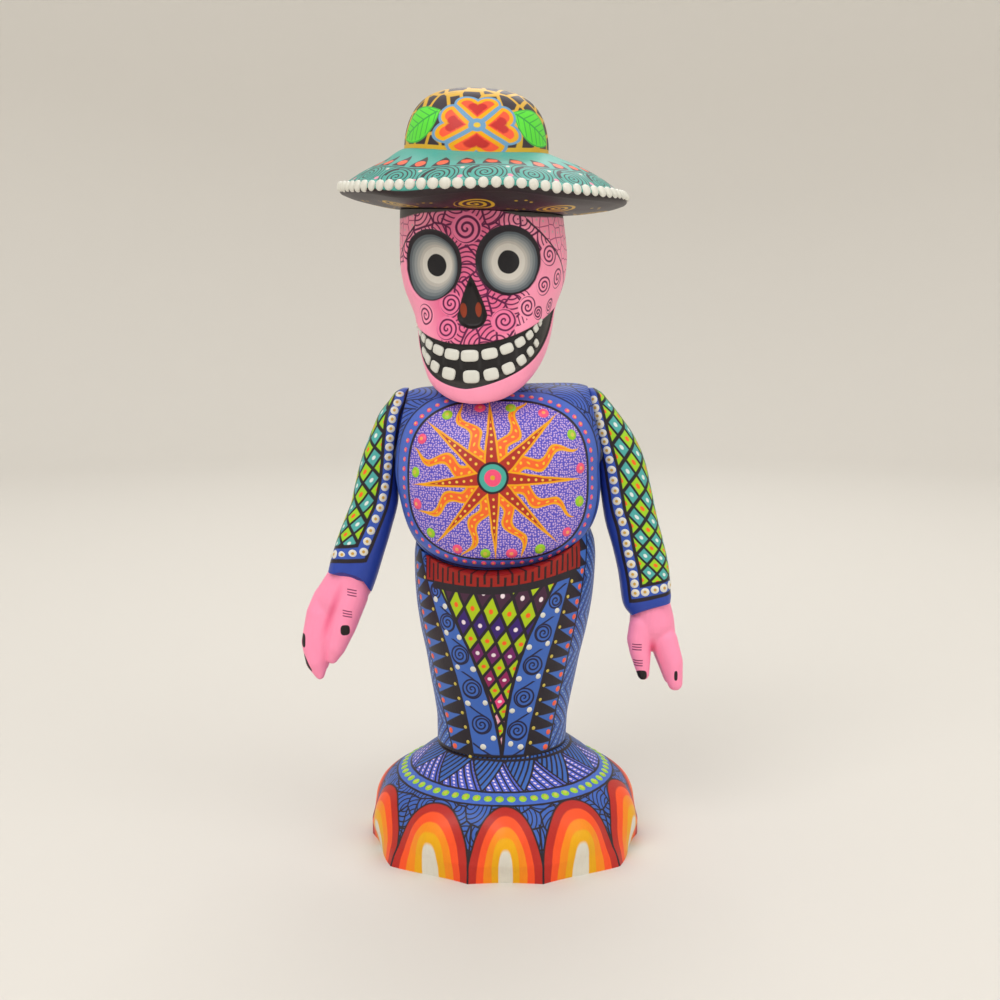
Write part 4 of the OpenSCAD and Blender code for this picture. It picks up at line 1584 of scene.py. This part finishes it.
def lay_leaf(sheet, x, run, side):
    """One slanting veined leaf beside the flower."""
    lx, lz = x * side - 25.0, run - 8.6
    along = lx * 0.88 - lz * 0.47
    across = lx * 0.47 + lz * 0.88
    share = along / LEAF_HALF
    leaf = abs(across) - 6.4 * (1 - share * share)
    sheet.lay("5ee03a", inside(most(leaf, abs(along) - LEAF_HALF)))
    vein = any_of(stroke(across, 0.6), stroke(near(along - abs(across) * 0.9, 3.4), 0.5))
    sheet.lay("35a546", vein, inside(leaf + 0.9), inside(abs(along) - 11))
    sheet.lay("35a546", stroke(leaf + 0.3, 0.4), inside(abs(along) - 11.8))


def heart(p, q):
    """Negative inside the half of a heart-shaped petal that points along p."""
    return most(least(hypot(p - 7.4, q - 3.1) - 4.4, p - 7.4), (q - p) * 0.707 - 0.1)


def lay_flower(sheet, x, run):
    """Four heart-shaped petals, drawn in one eighth of the plane, which the rest mirrors."""
    fy = run - 9.3
    fy = choose(inside(-fy, 0.1), fy / 1.06, fy / 0.98)
    fx = (x - 0.4) / 1.36 * (1 + least(most(fy / 6, -1), 1) * 0.15)
    p, q = most(abs(fx), abs(fy)), least(abs(fx), abs(fy))
    petal = heart(p, q)
    for code, inset in (("6f9fc4", 0), ("f2a900", 0.85), ("ff5a35", 2.1)):
        sheet.lay(code, inside(petal + inset))
    sheet.lay("c62a26", inside(heart((p - 3.3) / 0.45, q / 0.42) * 0.44 + 0.1, 0.6))
    middle = hypot(fx, fy)
    sheet.lay("6f9fc4", inside(middle - 2.4))
    sheet.lay("e8c23a", inside(middle - 0.95))


def crown_paint():
    """A golden net with a flower between two leaves in front."""
    sheet = Sheet("crown_paint")
    x, run, _ = sheet.coordinates()
    across, deep, high = sheet.split(sheet.place())
    sheet.ground("3a3035")
    sheet.lay("d9a92f", inside(sheet.to_border(across, deep, 7, 0.55, high) - 0.6))
    sheet.lay("dfae2c", inside(run - 1.1))
    for side in (-1, 1):
        lay_leaf(sheet, x, run, side)
    lay_flower(sheet, x, run)
    return sheet.finish()


def rim_dots(rng, kind):
    """White dots along the edge where the brim's two colours meet."""
    spots = []
    t = np.linspace(0, 1, 400)
    for a in 2 * PI * (np.arange(BRIM_DOTS) + 0.12) / BRIM_DOTS:
        under = np.concatenate([hat_collar(np.array([a])), brim_at(np.array([[a]]), t[:, None])])
        run = lengths(under)[len(HAT_COLLAR):, 0]
        spots.append(at(brim_at, a, np.interp(BRIM_EDGE + 0.9, run, t), 2.0))
    return domes(spots, rng, kind, rise=0.45, sunk=0.5)


# ---- paint of the arms ----

BEAD_PITCH = 3.9


def edge_right(run):
    """Where the painted field starts on the inner side of the right sleeve."""
    return -2.0 - 2.4 * bell(run, 41, 13) + 2.7 * rise_up(run, 50, 78)


def edge_left(run):
    """The same for the left sleeve."""
    return -4.9 + 0.9 * bell(run, 33, 5) + 3.6 * rise_up(run, 62, 92)


def sleeve_paint(name, edge, cuff, lean, width, height, shift):
    """A field of lozenges inside a border that runs down one edge and round the cuff."""
    sheet = Sheet(name)
    girth0, run0, _ = sheet.coordinates()
    girth, run = wobble(sheet, girth0, run0, 0.25)
    side = girth - edge(run)
    sheet.ground("2c46a4")
    corner = least(side, (run - cuff + side * lean) * (1 + lean * lean) ** -0.5)
    sheet.lay(INK, inside(-corner - 3.4))
    sheet.lay("3757b4", inside(-corner - 1.95))
    sheet.lay(INK, inside(-corner + 1.85))
    pitch = height * (0.8 + 0.35 * clipped(run, 1 / 80))
    u, m = (side - shift) / width, (run + girth * 0.35) / pitch
    near_u, near_m = abs(near(u, 1.0)), abs(near(m, 1.0))
    metric = (near_u + near_m) * 2 - 1

    def lozenges():
        sheet.lay("9ed020", inside(metric * 3))
        sheet.lay("f26a24", inside(hypot(near_u * width, near_m * height) - 0.8))
        sheet.lay("dfe9e4", inside(hypot((0.5 - near_u) * width, (0.5 - near_m) * height) - 0.7))
        sheet.lay(INK, inside(abs(metric) * 2.3 - 0.5))

    sheet.lay_layer(inside(-corner + 3.1), "4eaaa4", lozenges)
    return sheet.finish()


def sleeve_beads(place, edge, cuff, lean, top, rng, kind, side):
    """White dots along both edges of the painted field and along the cuff."""
    quarter = 180
    front, outer = 2 * quarter, 3 * quarter
    a = around(4 * quarter)
    k = np.linspace(11, 0, 300)
    grid = place(a[None], k[:, None])
    girth = lengths(grid, 1)
    girth -= girth[:, front:front + 1]
    run = lengths(grid)[:, outer]
    spots = []

    def put(g, r, size):
        """A dot at girth g and run r, and its mirror image at the back."""
        row = int(np.argmin(np.abs(run - r)))
        angle_at = np.interp(g, girth[row, quarter:outer + 1], a[quarter:outer + 1])
        for q in (angle_at, PI - angle_at):
            point, normal = at(place, q, k[row])
            spots.append((point, -side * normal, size))

    for r in np.arange(cuff + 3.6, top, BEAD_PITCH):
        put(edge(r), r, 1.6)
    row = int(np.argmin(np.abs(run - cuff)))
    start = edge(cuff)
    for g in np.arange(start, girth[row, outer], BEAD_PITCH):
        put(g, cuff - lean * (g - start), 1.7)
    return domes(spots, rng, kind, rise=0.28, sunk=0.6)


def hand_paint(name, nails, knuckles, tilt, crease_shade):
    """Pink, with painted shade as a darker pink patch in one deep crease (x, z, slope, half width,
    half height), black nails (x, z, half width, half height, slant) and strokes across the knuckles (x, z)."""
    sheet = Sheet(name)
    x, y, z = sheet.coordinates()
    sheet.ground("ff94b8")
    gx, gz, slope, wide, tall = crease_shade
    # painted shade: darker pink in the crease between thumb and fingers
    sheet.lay("f0608c", inside(hypot((x - gx - (z - gz) * slope) / wide, (z - gz) / tall) - 0.6, 0.9) * 0.8)
    front = inside(y + 3)
    for nx, nz, half, tip, slant in nails:
        across, along = abs(x - nx - (z - nz) * slant) / half, abs(z - nz) / tip
        sheet.lay("1f1518", inside((across ** 3 + along ** 3 - 1) * 0.8), front)
    for kx, kz in knuckles:
        rise = z - kz + (x - kx) * tilt
        box = inside(most(abs(x - kx) - 1.8, abs(rise) - 1.5))
        sheet.lay("6a1a4a", box, stroke(near(rise, 1.05), 0.42), front)
    return sheet.finish(rough=0.5, coat=0.08)


# ---- the room ----

def make_stage():
    """A pale floor that curves up into a round wall, so that every view has one backdrop."""
    a = np.linspace(0, 2 * PI, 97)
    flat_r, cove_r, wall_top = 1.2, 0.5, 1.6
    cove = [(flat_r + cove_r * math.sin(q), cove_r - cove_r * math.cos(q))
            for q in np.linspace(0.1, PI / 2, 14)]
    path = [(0.02, 0), (0.5, 0), (flat_r, 0), *cove, (flat_r + cove_r, wall_top)]
    points = np.stack([polar(r / MM, a, z / MM) for r, z in path])
    verts, faces, _, _ = shell(points[:, ::-1], points[:, ::-1])
    mesh = bpy.data.meshes.new("floor")
    mesh.from_pydata((verts * MM).tolist(), [], faces[:-1])
    mesh.shade_smooth()
    floor = linked("floor", mesh)
    sheet = Sheet("pale_floor")
    shader = sheet.node("ShaderNodeBsdfPrincipled")
    shader.inputs["Base Color"].default_value = paint_rgb("d9d5ce")
    shader.inputs["Roughness"].default_value = 0.7
    shader.inputs["Specular IOR Level"].default_value = 0.2
    out = sheet.node("ShaderNodeOutputMaterial")
    sheet.link(shader.outputs[0], out.inputs["Surface"])
    mesh.materials.append(sheet.material)


def make_light(name, place, aim, size, power):
    """A round soft light, in metres and watts."""
    data = bpy.data.lights.new(name, "AREA")
    data.shape, data.size, data.energy = "DISK", size, power
    light = linked(name, data)
    light.location = place
    direction = Vector(aim) - Vector(place)
    light.rotation_euler = direction.to_track_quat("-Z", "Y").to_euler()


def make_camera():
    """The camera, in front of the figure and above its middle, looking slightly down."""
    data = bpy.data.cameras.new("camera")
    data.lens, data.sensor_width = 52.6, 36
    data.clip_start, data.clip_end = 0.01, 20
    camera = linked("camera", data)
    camera.location = (-0.00207, -0.573, 0.2282)
    camera.rotation_euler = (math.radians(81.03), 0, 0)
    bpy.context.scene.camera = camera


def make_room():
    """Camera, floor, three lights and a white sky, without tone mapping."""
    make_camera()
    make_stage()
    make_light("key", (-0.55, -0.9, 1.15), (0, 0, 0.15), 0.9, 7.5)
    make_light("fill", (0.9, -0.6, 0.7), (0, 0, 0.15), 0.9, 3)
    make_light("back", (0.1, 0.9, 1.1), (0, 0, 0.2), 0.8, 4)
    world = bpy.data.worlds.new("room")
    bpy.context.scene.world = world
    world.use_nodes = True
    background = world.node_tree.nodes["Background"]
    background.inputs["Color"].default_value = (1, 0.99, 0.97, 1)
    background.inputs["Strength"].default_value = 1.0
    view = bpy.context.scene.view_settings
    view.view_transform, view.look = "Standard", "None"


# ---- building ----

# What differs between the arms. The lozenges have a width, a height and a sideways shift, and
# the dots end at "top". Sides, places and the creases' painted shade are as sleeve_at() and hand_paint()
# take them.
ARMS = {
    "right": dict(side=-1, rings=RIGHT_SLEEVE, arch=5.6, edge=edge_right, cuff=13.4, lean=0.46, top=79,
                  lozenges=(6.4, 7.4, 2.6), limbs=RIGHT_HAND,
                  nails=[(-62.7, 88.6, 1.8, 2.1, 0), (-79.7, 83.2, 0.8, 2.7, 0),
                         (-78.4, 74.5, 0.7, 3.4, -0.5)],
                  knuckles=[(-60.0, 103.3), (-61.8, 95.1)], tilt=0.2, crease=(-68.1, 95.7, 0.36, 2.2, 12)),
    "left": dict(side=1, rings=LEFT_SLEEVE, arch=1.9, edge=edge_left, cuff=8.0, lean=0.05, top=88,
                 lozenges=(6.2, 7.0, 3.0), limbs=LEFT_HAND,
                 nails=[(53.9, 69.6, 2.1, 2.1, 0), (67.5, 69.4, 0.7, 2.0, 0)],
                 knuckles=[(51.9, 81.2), (52.4, 74.7)], tilt=0.0, crease=(58.2, 79.8, 0, 2.0, 5)),
}


def dress_arm(which, ringed, rng):
    """The painted sleeve of one arm."""
    arm = ARMS[which]
    rings, side = arm["rings"], arm["side"]
    line = arm["edge"], arm["cuff"], arm["lean"]
    paint = sleeve_paint("sleeve_paint_" + which, *line, *arm["lozenges"])
    beads = sleeve_beads(sleeve_at(rings, side), *line, arm["top"], rng, 1, side)
    make_sleeve("painted_sleeve_" + which, rings, side, arm["arch"], "sleeve_" + which, which + "_arm",
                [paint, ringed], beads)


def dress_hand(which):
    """The painted hand of one arm."""
    arm = ARMS[which]
    paint = hand_paint("hand_paint_" + which, arm["nails"], arm["knuckles"], arm["tilt"], arm["crease"])
    make_hand("painted_hand_" + which, arm["limbs"], arm["rings"], arm["side"], "hand_" + which,
              which + "_arm", [paint])


make_room()
rng = np.random.default_rng(7)
pearl = bead("white_dot", "dddbd0")
ringed = bead("ringed_dot", "dedbcf", "c79a3c", 0.62)
lime = bead("lime_dot", "97cc22", "c9c244", 0.75)
coral = bead("coral_dot", "f2603a")
gold = bead("gold_dot", "cdb84a")
rose = bead("rose_dot", "ee4f7e", "eebb55", 0.38)
rosette = bead("rose_spot", "f0507c", "f0a860", 0.7)
leaf_spot = bead("green_spot", "93c81c", "c8be3a", 0.8)
enamel = bead("tooth_paint", "dbdad1")

make_foot([foot_paint(), lime], foot_beads(rng))
make_skirt([skirt_paint(), pearl, coral, gold], skirt_beads(rng))
make_torso([chest_face(), plain("neck_paint", "4c5654"), rose, rosette, leaf_spot], chest_beads(rng))
make_head([skull_face(), enamel], teeth(1))
make_hat([brim_paint(), crown_paint(), pearl], rim_dots(rng, 2))
for which in ARMS:
    dress_arm(which, ringed, rng)
for which in ARMS:
    dress_hand(which)

wood = plain("peg_wood", "c9a26e", rough=0.6, coat=0.0)
for node, obj in frame["nodes"].items():
    if "peg" in node or "dowel" in node:
        for slot in obj.material_slots:
            slot.material = wood
